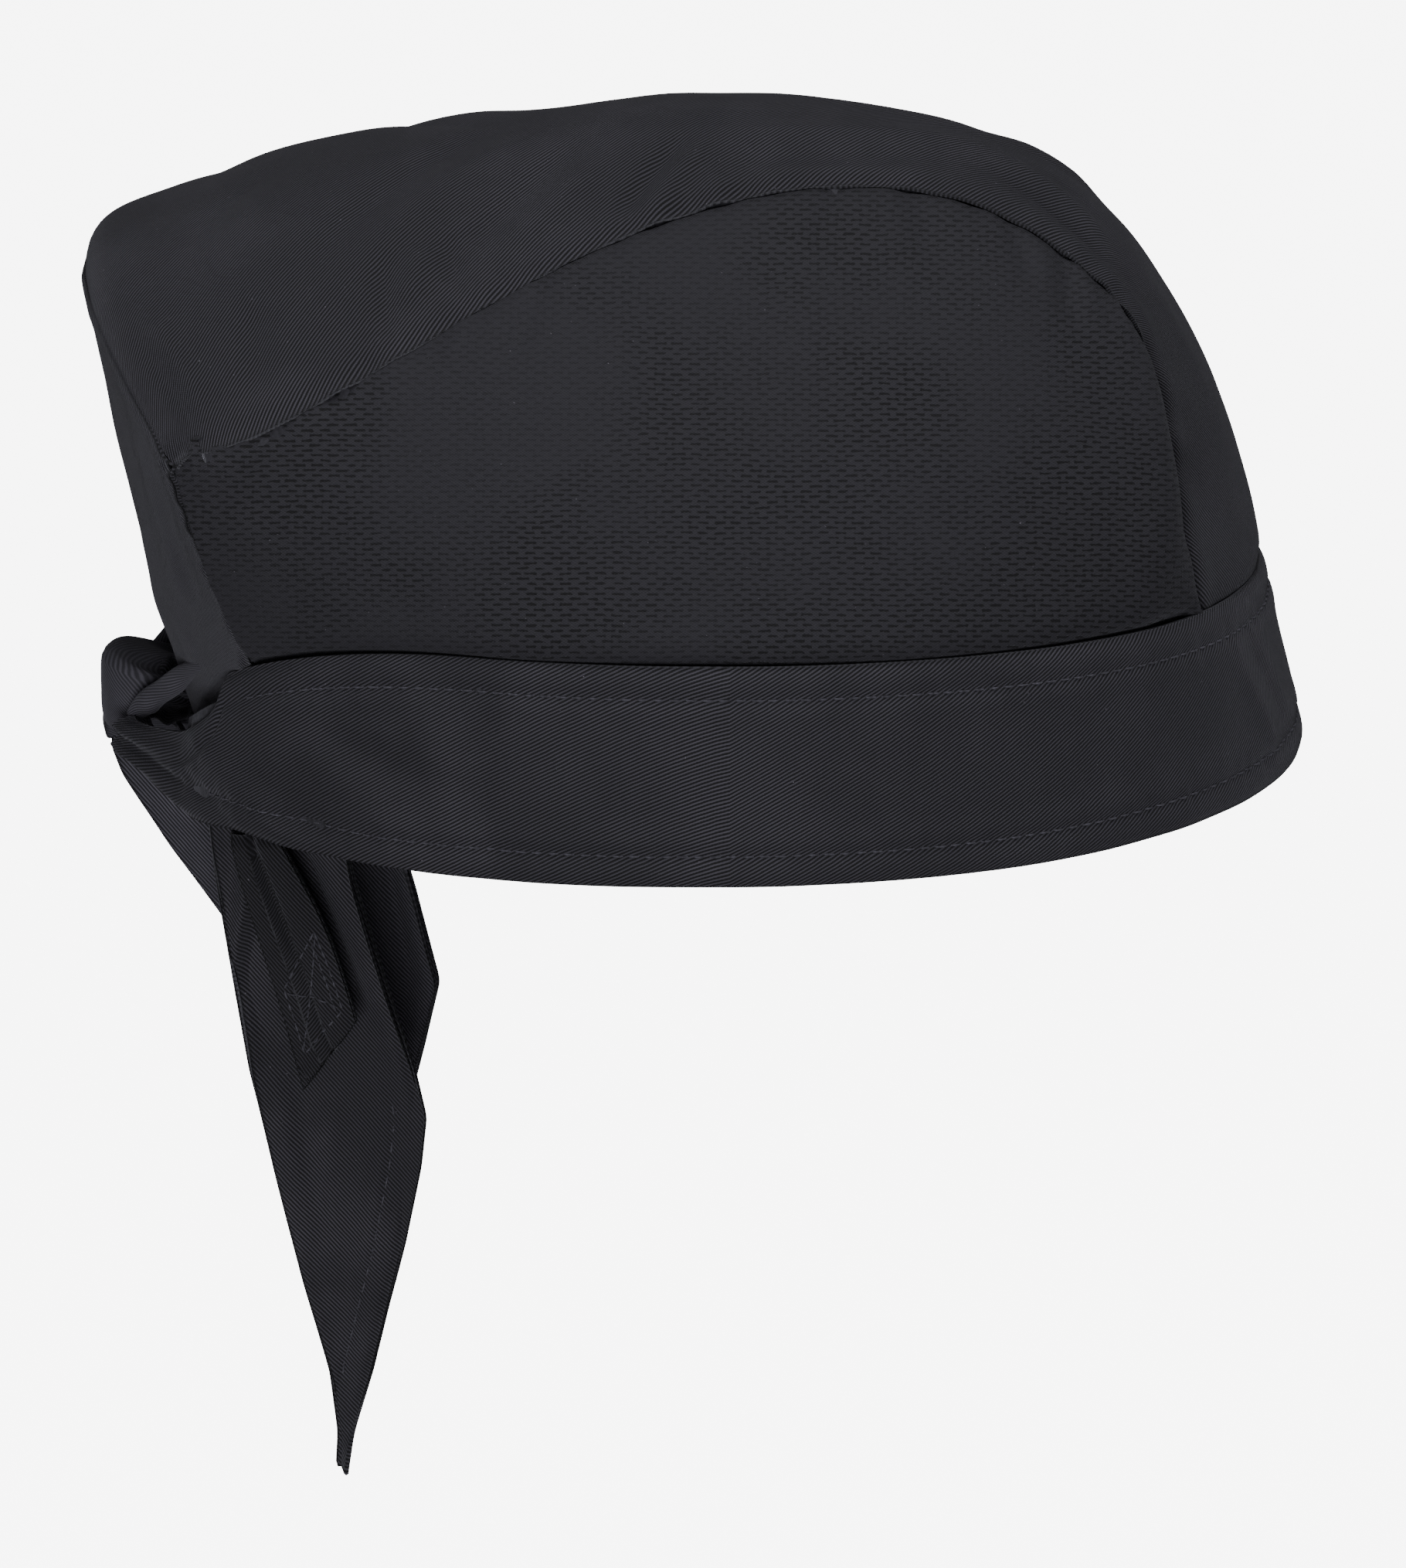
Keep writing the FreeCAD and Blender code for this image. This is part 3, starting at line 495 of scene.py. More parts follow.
def knit(name):
    """Air-mesh knit: staggered rows of short slots between ribs."""
    n = Nodes(name)
    u, v = n.cloth_place()
    place = n.object_place()
    drift = n.wander(place, 90.0, 2.0, 0.0011)
    u, v = n.plus(u, drift), n.plus(v, drift)
    row_place = n.math("DIVIDE", v, SLOT_ROWS)
    row = n.math("FLOOR", row_place)
    within = n.math("SUBTRACT", row_place, row)
    shift = n.times(n.math("MODULO", row, 2.0), 0.5)
    column_place = n.plus(n.math("DIVIDE", u, SLOT_COLUMNS), shift)
    column = n.math("SUBTRACT", column_place, n.math("FLOOR", column_place))
    beside = n.math("ABSOLUTE", n.math("SUBTRACT", column, 0.5))
    above = n.math("ABSOLUTE", n.math("SUBTRACT", within, 0.5))
    ragged = n.wander(place, 1100.0, 2.0, 0.50)
    slot_shape = n.times(n.spread(n.plus(beside, ragged), 0.37, 0.25),
                         n.spread(n.plus(above, ragged), 0.30, 0.10),
                         n.spread(n.noise(place, 26.0, 3.0), 0.34, 0.66, 0.25, 0.90))
    rib = n.math("SINE", n.times(n.math("DIVIDE", u, RIBS), 2 * math.pi))
    course = n.math("SINE", n.times(row_place, 4 * math.pi))
    fibre = n.noise(place, 2400.0, 3.0, 0.7)
    height = n.plus(n.times(fibre, 0.5), n.plus(n.times(rib, course, 0.13), 0.35))
    height = n.math("SUBTRACT", height, n.times(slot_shape, 0.55))
    colour = n.blend(n.spread(height, 0.10, 0.78), shade(0.0035), shade(0.021))
    colour = n.linted(place, colour, 0.4, shade(0.15, 0.04))
    roughness = n.spread(fibre, 0.2, 0.8, 0.74, 0.92)
    return n.finish(colour, height, 0.00022, roughness, 0.05, FUZZ_TINT)


def fuzzy(name, level, grain, depth, sheen=0.25):
    """Plain napped cloth: terry, lining, tape and thread, told apart by grain and tone."""
    n = Nodes(name)
    place = n.object_place()
    fibre = n.noise(place, grain, 4.0, 0.7)
    tuft = n.noise(place, grain * 0.35, 2.0)
    height = n.plus(n.times(fibre, 0.6), n.times(tuft, 0.6))
    colour = n.blend(n.spread(height, 0.35, 0.85), shade(level * 0.45), shade(level * 1.5))
    return n.finish(colour, height, depth, n.spread(fibre, 0.2, 0.8, 0.8, 0.95), sheen, FUZZ_TINT)


TWILL_PITCH = 0.00056               # metres from wale to wale
BAND_TWILL = twill("black_twill_band", TWILL_PITCH, 32.0, 0.0034, 0.037)
TOP_TWILL = twill("black_twill_top", TWILL_PITCH, 42.0, 0.0030, 0.036)
TAIL_TWILL = twill("black_twill_tails", TWILL_PITCH, -50.0, 0.0045, 0.034, 0.8, 0.00010)
WORN_TWILL = twill("black_twill_worn", TWILL_PITCH, 20.0, 0.0190, 0.046, 1.0, 0.00005)
# The far tail's twill is painted lighter than the near tail's: painted light standing in for the shade it
# hangs in.
FAR_TAIL_PAINTED_LIGHT_TWILL = twill("black_twill_far_tail_painted_light", TWILL_PITCH, -50.0, 0.0100, 0.060, 1.0, 0.00008)
STRAP_TWILL = twill("black_twill_strap", TWILL_PITCH, -50.0, 0.0020, 0.024, 0.5, 0.00014)
KNIT = knit("black_air_mesh")
THREAD = fuzzy("black_thread", 0.040, 2600.0, 0.00006, 0.10)
TERRY_CLOTH = fuzzy("black_terry", 0.020, 900.0, 0.0006)
LINING_CLOTH = fuzzy("black_lining", 0.016, 1900.0, 0.00012)
TAPE_CLOTH = fuzzy("black_tape", 0.022, 1500.0, 0.0002)
LABEL_CLOTH = fuzzy("pale_label", 0.42, 2200.0, 0.00008)


# ---- headband -----------------------------------------------------------------------------------

STITCH_INSET, STITCH_PITCH, THREAD_THICK = 5.5, 2.75, 0.36
UPPER_STITCHES, LOWER_STITCHES = 143.0, 151.0    # degrees from the front
LINING_DROP = 4.6                                # from the band's upper edge to its lining's
CLOTH_END = 172.0
MOUTH_ANGLES = (145.3, 146.4, 147.6, 149.0, 151.0, 153.4, 156.2, 159.2, 162.4, 166.0, 170.0)
MOUTH_HEIGHTS = (36.0, 31.0, 26.2, 21.4, 18.2, 15.7, 13.4, 11.4, 9.7, 8.1, 6.6)
CAP_BAND_STEPS, BAND_ROWS = 521, 44
DEGREE = 1.55                       # millimetres of band per degree, for laying out folds


def band_top(angle):
    """The band's upper edge, which curls down into the knot behind the mouth of the tie."""
    bottom, top = band_edges(angle)
    mouth = np.interp(np.abs(angle), MOUTH_ANGLES, MOUTH_HEIGHTS, right=MOUTH_HEIGHTS[-1])
    return bottom, np.where(np.abs(angle) > MOUTH_ANGLES[0], np.minimum(top, mouth), top)


# Folds of the band, by millimetres round from the front and up from its lower edge. Each is a
# start, an end, a width and a height.
BAND_FOLDS = (
    ((173.0, 34.0), (170.0, 4.0), 3.2, -0.85),
    ((181.0, 33.0), (176.0, 6.0), 3.6, 0.75),
    ((216.0, 25.0), (174.0, 15.0), 3.4, -0.95),
    ((214.0, 29.0), (184.0, 5.0), 4.6, 0.9),
    ((228.0, 17.0), (194.0, 2.0), 3.2, -1.0),
    ((238.0, 15.0), (206.0, 1.0), 2.6, 0.8),
    ((246.0, 10.0), (222.0, 0.0), 2.2, -0.8),
    ((40.0, 26.0), (28.0, 4.0), 3.0, 0.6),
    ((33.0, 28.0), (20.0, 6.0), 2.6, -0.5),
)


def band_relief(angle, height):
    """How far the band's face stands out from its plain surface, in millimetres."""
    bottom, top = band_top(angle)
    turn = np.abs(angle)
    s, up = turn * DEGREE, height - bottom
    down = top - height
    round_band = angle * DEGREE
    relief = ripples(round_band, height, 46.0, 0.22) + ripples(round_band, height, 17.0, 0.07)
    for row in (up, down):
        relief -= 0.38 * near(row - STITCH_INSET, 0.85)
        relief += 0.22 * near(row - STITCH_INSET - 2.4, 1.9) + 0.30 * near(row - 2.4, 2.2)
        relief -= 0.55 * near(row, 0.9)
        relief += 0.10 * uneven(round_band, 5.0) * near(row - STITCH_INSET, 2.6)
    relief = folded(relief, s, up, BAND_FOLDS)
    pinch = ease((turn - 138.0) / 32.0)
    share = up / np.maximum(top - bottom, 1.0)
    pleats = np.sin(share * 13.0 + 2.0 * np.sin(s * 0.09)) + 0.3 * np.sin(share * 29.0 + s * 0.12)
    return relief + pinch * pleats * 0.55


def band_cloth():
    angle, rise = sweep((-CLOTH_END, CLOTH_END, CAP_BAND_STEPS), (0.0, 1.0, BAND_ROWS))
    low, top = band_edges(angle)
    bottom, curled = band_top(angle)
    share = rise * (curled - bottom) / (top - low)
    height = bottom + rise * (curled - bottom)
    face = band_point(angle, share)
    normal = face_normals(face, face - CAP_MIDDLE)
    face = face + normal * band_relief(angle, height)[..., None]
    pinch = ease((np.abs(angle) - 157.0) / 15.0)
    face[..., 1] += pinch * (5.6 + 1.4 * np.sin(rise * math.pi))
    face[..., 2] += pinch * (3.6 - 2.2 * rise)
    face[..., 0] *= 1.0 - 0.10 * pinch
    piece = cloth("headband_cloth", face, TWILL, np.stack([-angle * DEGREE, height], -1),
                  face - CAP_MIDDLE, BAND_TWILL)
    join(piece, "root", "headband_outer")
    return angle, height, face


def face_reader(angle, height, face):
    """Reads the band's finished face at an angle and a height above the rim plane."""
    angles = angle[:, 0]

    def read(at, up):
        row = np.interp(at, angles, np.arange(len(angles)))
        i = np.clip(row.astype(int), 0, len(angles) - 2)
        share = (row - i)[:, None]
        out = []
        for k, (index, level) in enumerate(zip(i, up)):
            first = [np.interp(level, height[index], face[index, :, c]) for c in range(3)]
            second = [np.interp(level, height[index + 1], face[index + 1, :, c]) for c in range(3)]
            out.append(np.array(first) * (1 - share[k]) + np.array(second) * share[k])
        return np.array(out)
    return read


def band_stitches(read):
    for name, reach in (("band_upper_topstitch", UPPER_STITCHES),
                        ("band_lower_topstitch", LOWER_STITCHES)):
        at = np.linspace(-reach, reach, 780)
        bottom, top = band_top(at)
        line = read(at, top - STITCH_INSET if "upper" in name else bottom + STITCH_INSET)
        outs = line * [1.0, 1.0, 0.0]
        piece = row_of_stitches(name + "_thread", line, outs, STITCH_PITCH, THREAD_THICK, THREAD)
        join(piece, "root", name)


def inner_band(name, node, material, ends, low, high, depth, thickness, wave):
    """One of the layers inside the headband: its edges stand low and high above the rim."""
    angle, rise = sweep((-ends, ends, int(ends * 1.6)), (0.0, 1.0, 14))
    bottom, top = band_edges(angle)
    level = low + (np.minimum(high, top - bottom - LINING_DROP) - low) * rise
    face = band_point(angle, level / (top - bottom), depth)
    relief = wave * ripples(angle * DEGREE, level, 14.0, 1.0)
    face = face - face_normals(face, face - CAP_MIDDLE) * relief[..., None]
    piece = cloth(name, face, thickness, np.stack([-angle * DEGREE, level], -1),
                  face - CAP_MIDDLE, material)
    join(piece, "root", node)


# ---- crown --------------------------------------------------------------------------------------

INNER_MIDDLE_HEIGHT = BAND_HEIGHT * 1.2


def inwards(point, depth):
    """The point moved this deep towards the cap's middle, as every ply of the cap is laid."""
    return point + unit(stack(0.0, point[..., 1] * 0.5, INNER_MIDDLE_HEIGHT) - point) * depth


# Seam allowances, as (past the seam line, behind the face) from the raw edge up.
ALLOWANCE = ((3.6, 1.9), (2.2, 1.7), (1.0, 1.3))
SIDE_ALLOWANCE = ((9.0, 2.6), (6.0, 2.4)) + ALLOWANCE
UPPER_ALLOWANCE = ((2.4, 1.8), (1.0, 1.3))
BACK_ALLOWANCE = ((20.0, 2.7), (11.0, 2.6), (7.0, 2.4), (3.0, 1.9), (1.0, 1.2))


def with_allowance(face, uv, rows=ALLOWANCE, way=(0.0, 0.0, -1.0)):
    """A panel and its cloth places, with its seam allowance run out this way before its first row."""
    way, uv_way = np.array(way), unit(uv[:1] - uv[2:3])
    added = [inwards(face[:1] + way * reach, depth) for reach, depth in rows]
    places = [uv[:1] + uv_way * reach for reach, _ in rows]
    return np.concatenate(added + [face]), np.concatenate(places + [uv])


SEAM_DIP, SEAM_WIDTH = 0.75, 1.5


# Folds of the top panel, by place along the ridge and across it: the same four values.
TOP_FOLDS = (
    ((148.0, -15.0), (158.5, -32.0), 1.9, -1.5),
    ((144.5, -17.0), (154.5, -33.0), 2.2, 1.0),
    ((166.0, -14.0), (187.0, -37.0), 3.2, -1.1),
    ((161.0, -19.0), (179.0, -38.0), 3.0, 0.8),
    ((180.0, 0.0), (212.0, -33.0), 3.6, -1.0),
    ((176.0, -8.0), (204.0, -36.0), 4.0, 0.7),
    ((214.0, 4.0), (236.0, -22.0), 4.5, -0.7),
    ((194.0, -35.0), (196.0, -44.0), 2.4, 0.9),
    ((200.5, -36.0), (200.5, -50.0), 2.2, -1.2),
    ((189.0, -33.0), (188.0, -42.0), 2.0, -0.9),
    ((225.0, -40.0), (226.0, -54.0), 3.2, -1.2),
    ((246.0, -36.0), (238.0, -58.0), 3.0, 1.3),
    ((250.0, -40.0), (243.0, -60.0), 2.4, -0.9),
    ((70.0, -13.0), (92.0, -7.0), 2.8, 1.1),
    ((66.0, -20.0), (96.0, -12.0), 2.2, -0.8),
    ((92.0, -4.0), (140.0, -13.0), 3.0, 0.8),
    ((100.0, -13.0), (138.0, -20.0), 2.4, -0.6),
    ((20.0, -12.0), (64.0, -9.0), 5.0, 0.5),
)


def top_relief(place, t, to_seam):
    """Folds of the top panel: place along the ridge, t across it, to_seam from the nearer seam."""
    side = -np.abs(t)
    relief = ripples(place, t, 60.0, 0.45) + ripples(place, t, 22.0, 0.10)
    relief = folded(relief, place, side, TOP_FOLDS)
    relief += 0.30 * uneven(place, 11.0) * near(to_seam, 6.0)
    relief += 0.35 * near(to_seam - 3.0, 2.4) - SEAM_DIP * near(to_seam, SEAM_WIDTH)
    return relief - 0.9 * near(place, 1.6)


def crown_top():
    place, across = sweep((0.15, EDGE_PLACE - 0.2, 231), (-0.997, 0.997, 95))
    across = across * (1.0 + 0.04 * near(place, 2.5))
    seam_x = SEAM(place)[..., 0]
    face = top_point(place, across)
    normal = face_normals(face, face - CAP_MIDDLE)
    relief = top_relief(place, across * seam_x, (1.0 - np.abs(across)) * seam_x)
    relief -= 0.5 * near(EDGE_PLACE - place, 1.2)
    face = face + normal * relief[..., None]
    face, uv = with_allowance(face, np.stack([-place, across * seam_x], -1))
    piece = cloth("crown_top_cloth", face, TWILL, uv, face - CAP_MIDDLE, TOP_TWILL)
    join(piece, "root", "crown_top_panel")


# Short folds that hang from the mesh side's top seam: place, lean, width and height.
SIDE_FOLDS = ((76.0, 5.0, 3.4, -1.3), (82.0, 4.0, 3.0, 0.6), (89.0, -3.0, 3.0, -0.8),
              (105.0, 1.0, 2.6, -0.8), (111.0, 2.0, 3.0, 0.4), (121.0, 3.0, 3.4, -1.0),
              (128.0, 0.0, 3.0, 0.4), (173.0, 2.0, 2.8, -0.9), (180.0, 2.0, 3.0, 0.35),
              (205.0, 3.0, 3.0, -0.5), (226.0, 4.0, 3.2, -0.6))
SIDE_FOLD_REACH = 15.0


def side_relief(place, above, below):
    """Folds of a mesh side: above its foot and below its top seam, in millimetres."""
    relief = ripples(place, above, 70.0, 0.35) + ripples(place, above, 26.0, 0.10)
    for at, lean, width, height in SIDE_FOLDS:
        relief += fold(place, below, (at, 0.0), (at + lean, SIDE_FOLD_REACH), width, height)
    relief += 0.25 * uneven(place, 9.0) * near(below, 7.0)
    relief -= 0.95 * near(below, 2.6) + 0.75 * near(above, 2.8)
    return relief


def mesh_side(name, node, side):
    place, rise = sweep((0.25, EDGE_PLACE - 0.3, 181), (0.004, 0.996, 56))
    length = np.linalg.norm(SEAM(place) - side_foot(place), axis=-1)
    face = side_point(place, rise)
    normal = face_normals(face, face - CAP_MIDDLE)
    relief = side_relief(place, rise * length, (1.0 - rise) * length)
    relief *= ease(length / 12.0)
    relief -= 0.5 * near(EDGE_PLACE - place, 2.5)
    relief -= 0.9 * near(rise * length, 1.3) * ease((EDGE_PLACE - place) / 6.0) * ease(place / 9.0)
    face = face + normal * relief[..., None]
    face[..., 0] *= side
    uv = np.stack([-face[..., 1], face[..., 2] - 0.35 * np.abs(face[..., 0])], -1)
    face, uv = with_allowance(face.swapaxes(0, 1), uv.swapaxes(0, 1), SIDE_ALLOWANCE)
    face, uv = with_allowance(face[::-1], uv[::-1], UPPER_ALLOWANCE, unit(face[-1:] - face[-4:-3]))
    piece = cloth(name, face, MESH_KNIT, uv, face - CAP_MIDDLE, KNIT)
    join(piece, "root", node)


# Folds of the back panel, by place across it and down it.
BACK_FOLDS = (
    ((-52.0, 4.0), (-40.0, 40.0), 3.4, -0.8),
    ((-46.0, 6.0), (-33.0, 44.0), 4.0, 0.8),
    ((-44.0, 36.0), (-30.0, 62.0), 3.4, -0.9),
    ((-30.0, 30.0), (-14.0, 66.0), 4.0, 0.9),
)


def back_cloth():
    across, fall = sweep((-0.995, 0.995, 101), (0.004, 0.996, 61))
    face = back_point(across, fall)
    normal = face_normals(face, face - CAP_MIDDLE)
    x = face[..., 0]
    drop = fall * np.linalg.norm(back_point(across, np.ones_like(fall))
                                 - back_point(across, np.zeros_like(fall)), axis=-1)
    to_side = (1.0 - np.abs(across)) * 61.0
    side = -np.abs(x)
    relief = ripples(x, drop, 42.0, 0.45) + ripples(x, drop, 15.0, 0.10)
    relief = folded(relief, side, drop, BACK_FOLDS)
    relief += fold(x, drop, (2.0, 20.0), (-4.0, 66.0), 4.4, -0.8)
    relief += 0.45 * near(to_side - 2.2, 2.0) - 0.5 * near(to_side, 1.3)
    relief += 0.35 * near(drop - 2.4, 2.0) - 0.6 * near(drop, 1.2)
    relief += 0.28 * uneven(drop, 9.0) * near(to_side, 5.0)
    face = face + normal * relief[..., None]
    uv = np.stack([x, -drop], -1)
    face, uv = face[:, ::-1].swapaxes(0, 1), uv[:, ::-1].swapaxes(0, 1)
    down = np.clip((face[:1, :, 2:] - 2.5) / BACK_ALLOWANCE[0][0], 0.35, 1.0) * [0.0, 0.0, -1.0]
    face, uv = with_allowance(face, uv, BACK_ALLOWANCE, down)
    piece = cloth("back_cloth", face, TWILL, uv, face - CAP_MIDDLE, TOP_TWILL)
    join(piece, "root", "back_panel")


# ---- seam tapes and label, inside ---------------------------------------------------------------

TAPE_WIDTH, TAPE_THICK, TAPE_DEPTH = 4.0, 0.5, 1.7    # the width is that of each half


def bent_row(first, middle, last, count=7):
    """Points across a tape, on the curve through three rows of points."""
    share = np.linspace(0.0, 1.0, count)[None, :, None]
    first, middle, last = (row[:, None, :] for row in (first, middle, last))
    return (first * (1 - share) * (1 - 2 * share) + middle * 4 * share * (1 - share)
            + last * share * (2 * share - 1))


def tape_piece(name, node, rows, lengths):
    """A serged seam tape over rows of points across a seam, with its overlock thread."""
    face = inwards(rows, TAPE_DEPTH)
    wave = 0.10 * np.sin(lengths * 2.1)[:, None, None]
    face = face + wave * (face - CAP_MIDDLE) / 60.0
    across = np.linspace(0, 2 * TAPE_WIDTH, rows.shape[1])
    uv = np.stack(np.broadcast_arrays(lengths[:, None], across), -1)
    piece = cloth(name, face, TAPE_THICK, uv, face - CAP_MIDDLE, TAPE_CLOTH)
    join(piece, "root", node)
    inner = inwards(face, TAPE_THICK + 0.05)
    zigzag = inner[np.arange(len(inner)), (np.arange(len(inner)) % 2) * 2 + 2]
    thread = row_of_stitches(name + "_thread", zigzag, CAP_MIDDLE - zigzag, 2.4, 0.3, THREAD, 0.95)
    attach(thread, "root")


def seam_tapes():
    places = np.linspace(PLACES[1], EDGE_PLACE - 3.0 * TAPE_WIDTH, 151)
    seam = SEAM(places)
    on_top = 1.0 - TAPE_WIDTH / seam[:, 0]
    on_side = 1.0 - TAPE_WIDTH / np.linalg.norm(seam - side_foot(places), axis=1)
    rows = bent_row(top_point(places, on_top), seam, side_point(places, on_side))
    for side, name in ((1.0, "left"), (-1.0, "right")):
        tape_piece("crown_tape_" + name, "crown_seam_tape_" + name, rows * [side, 1, 1], places)
    across = np.linspace(-0.85, 0.85, 81)
    edge = np.full_like(across, EDGE_PLACE)
    top = back_point(across, np.zeros_like(across))
    fall = TAPE_WIDTH / np.linalg.norm(back_point(across, np.ones_like(across)) - top, axis=1)
    rows = bent_row(top_point(edge - TAPE_WIDTH, across), top, back_point(across, fall))
    tape_piece("back_tape", "back_seam_tape", rows, across * 55.0)
    rise, place = sweep((0.92, 0.2, 45),
                        (EDGE_PLACE - 4.0 * TAPE_WIDTH, EDGE_PLACE - 0.6 * TAPE_WIDTH, 7))
    rows = side_point(place, rise)
    for side, name in ((1.0, "left"), (-1.0, "right")):
        tape_piece("rear_tape_" + name, "rear_seam_tape_" + name, rows * [side, 1, 1],
                   rise[:, 0] * -40.0)


LABEL_ANGLE, LABEL_LOW = -124.0, 7.0
LABEL_WIDTH, LABEL_HEIGHT, LABEL_THICK = 22.0, 14.0, 0.3


def care_label():
    half = math.degrees(LABEL_WIDTH / 2.0 / RIM_HALF_LENGTH)
    angle, up = sweep((LABEL_ANGLE - half, LABEL_ANGLE + half, 25),
                      (LABEL_LOW, LABEL_LOW + LABEL_HEIGHT, 15))
    bottom, top = band_edges(angle)
    face = band_point(angle, up / (top - bottom), TWILL + LINING + 2 * PLY_GAP)
    uv = np.stack([angle * DEGREE, up], -1)
    piece = cloth("blank_care_label", face, LABEL_THICK, uv, face - CAP_MIDDLE, LABEL_CLOTH)
    join(piece, "root", "care_label")


# ---- knot ---------------------------------------------------------------------------------------

KNOT_Y, KNOT_Z, LOOP_RADIUS, LOOP_HEIGHT = 102.0, 9.2, 10.3, 13.4
DOUBLE_PLY = 1.8


def knot_loop():
    """The folded tie that wraps the knot: open towards the cap, closed over by its upper edge."""
    turn, rise = sweep((-1, 1, 121), (0, 1, 57))
    reach = 84.0 + 36.0 * np.abs(2 * np.minimum(rise, 0.7) / 0.7 - 1.0) ** 2.2
    angle = np.radians(turn * reach)
    back = 0.5 + 0.5 * np.cos(angle)
    top = KNOT_Z - 0.1 + LOOP_HEIGHT * 0.5 * back ** 0.6 + 0.2 * back
    low = KNOT_Z - LOOP_HEIGHT * 0.5 - 10.5 * (1.0 - back) ** 1.5
    wall = np.clip(rise / 0.72, 0.0, 1.0)
    roof = np.clip((rise - 0.66) / 0.34, 0.0, 1.0)
    belly = 4 * wall * (1 - wall)
    radius = LOOP_RADIUS - 1.1 + 0.8 * belly ** 0.6
    radius = (radius + 0.25 * np.sin(wall * 11.0 + turn * 3.0) * (1.0 - back)) \
        * np.cos(roof * math.pi / 2.0 * 0.96)
    height = low + (top - low) * wall + 1.3 * np.sin(roof * math.pi / 2.0)
    face = stack(radius * signed_power(np.sin(angle), 0.86),
                 KNOT_Y - 5.5 * roof + radius * signed_power(np.cos(angle), 0.86), height)
    face[..., 2] -= 0.24 * np.maximum(KNOT_Y + 9.0 - face[..., 1], 0.0) * ease(roof * 1.6)
    face = face + ripples(turn * 30, rise * 18, 9.0, 0.10)[..., None] * [1.0, 1.0, 0.3]
    middle = np.array([0.0, KNOT_Y - 2.0, KNOT_Z])
    uv = np.stack([turn * 22.0, rise * (LOOP_HEIGHT + 6.0)], -1)
    piece = cloth("knot_loop", face, DOUBLE_PLY, uv, face - middle, WORN_TWILL)
    join(piece, "root", "knot_wrap")


# The rolled upper edge of the gathered band, from the back seam's foot into the knot.
ROLL_LINE = ((36.5, 87.5, 27.6), (30.0, 92.0, 23.9), (22.0, 96.0, 20.1), (15.5, 100.2, 15.2),
             (12.2, 104.0, 11.6), (11.3, 106.6, 7.6))
ROLL_WIDTHS = (0.6, 1.3, 1.9, 2.2, 2.2, 1.6)


def tie_rolls():
    """The band's rolled upper edges, which close the hollow beside the knot from above."""
    share, turn = sweep((0, 1, 61), (-0.62, 0.9, 25))
    places = np.linspace(0, 1, len(ROLL_LINE))
    line = smooth_curve(places, np.array(ROLL_LINE))(share)
    width = smooth_curve(places, np.array(ROLL_WIDTHS)[:, None])(share)[..., 0]
    along = unit(np.gradient(line, axis=0))
    out = unit(np.cross(along, [0.0, 0.0, 1.0]))
    out *= np.sign(out[..., :1])
    up = np.cross(out, along)
    up *= np.sign(up[..., 2:])
    bend = (turn * math.pi)[..., None]
    width = (width * (1.0 + 0.06 * np.sin(share * 17.0)))[..., None]
    face = line + width * (out * np.cos(bend) + up * (np.sin(bend) - 1.0))
    for side, name in ((-1.0, "right"), (1.0, "left")):
        mirror = np.array([side, 1.0, 1.0])
        uv = np.stack([share * 36.0, turn * 7.0], -1)
        piece = cloth("tie_roll_" + name, face * mirror, 0.6, uv,
                      (out * np.cos(bend) + up * np.sin(bend)) * mirror, WORN_TWILL)
        join(piece, "root", "band_tie_" + name)


def knot_core():
    """The pulled-tight wad inside the loop: a pleated, twisted roll of both ties."""
    turn, along = sweep((0, 2 * math.pi, 73), (-1, 1, 41))
    girth = np.sqrt(np.maximum(1.0 - np.abs(along) ** 3.0, 0.03))
    pleat = 1.0 + 0.13 * np.sin(turn * 5.0 + along * 2.4) + 0.06 * np.sin(turn * 11.0 - along * 3.0)
    points = stack(along * 8.4, KNOT_Y - 0.8 + np.cos(turn) * girth * pleat * 6.9,
                   KNOT_Z - 1.0 + np.sin(turn) * girth * pleat * 5.5)[:-1]
    around, sections = points.shape[:2]
    number = np.arange(around * sections).reshape(around, sections)
    following = np.roll(number, -1, axis=0)
    faces = np.stack([number[:, :-1], number[:, 1:], following[:, 1:], following[:, :-1]], -1)
    faces = faces.reshape(-1, 4).tolist()
    faces += [number[:, 0].tolist(), number[::-1, -1].tolist()]
    uv = np.stack([np.broadcast_to(np.linspace(0, 30, around)[:, None], (around, sections)),
                   along[:-1] * 9.5], -1).reshape(-1, 2)
    piece = add_mesh("knot_core_cloth", points.reshape(-1, 3), faces, TAIL_TWILL, uv)
    join(piece, "root", "knot_core")


def ribbon(rear, front, along, across, pleats):
    """A gathered strip between two edge curves, pleated along its length."""
    places = np.linspace(0, 1, len(rear))
    share, beside = sweep((0, 1, along), (0, 1, across))
    rear_line = smooth_curve(places, np.array(rear, float))(share)
    front_line = smooth_curve(places, np.array(front, float))(share)
    face = rear_line + (front_line - rear_line) * beside[..., None]
    wave = np.sin(beside * 2 * math.pi * pleats + share * 1.5)
    depth = 0.9 * ease(1.25 - share) + 0.15
    return face, wave * depth, share, beside


def tie_root(name, node, side, rear, front):
    face, relief, share, beside = ribbon(rear, front, 61, 49, 2.6)
    facing = np.array([side, 0.25, 0.1])
    face = face + face_normals(face, facing) * relief[..., None]
    width = np.linalg.norm(np.subtract(front, rear), axis=1).mean()
    uv = np.stack([share * 30.0, beside * width], -1)
    piece = cloth(name, face, DOUBLE_PLY * 0.7, uv, facing, WORN_TWILL)
    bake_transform(piece)
    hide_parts(node)


# ---- hanging tie ends ---------------------------------------------------------------------------

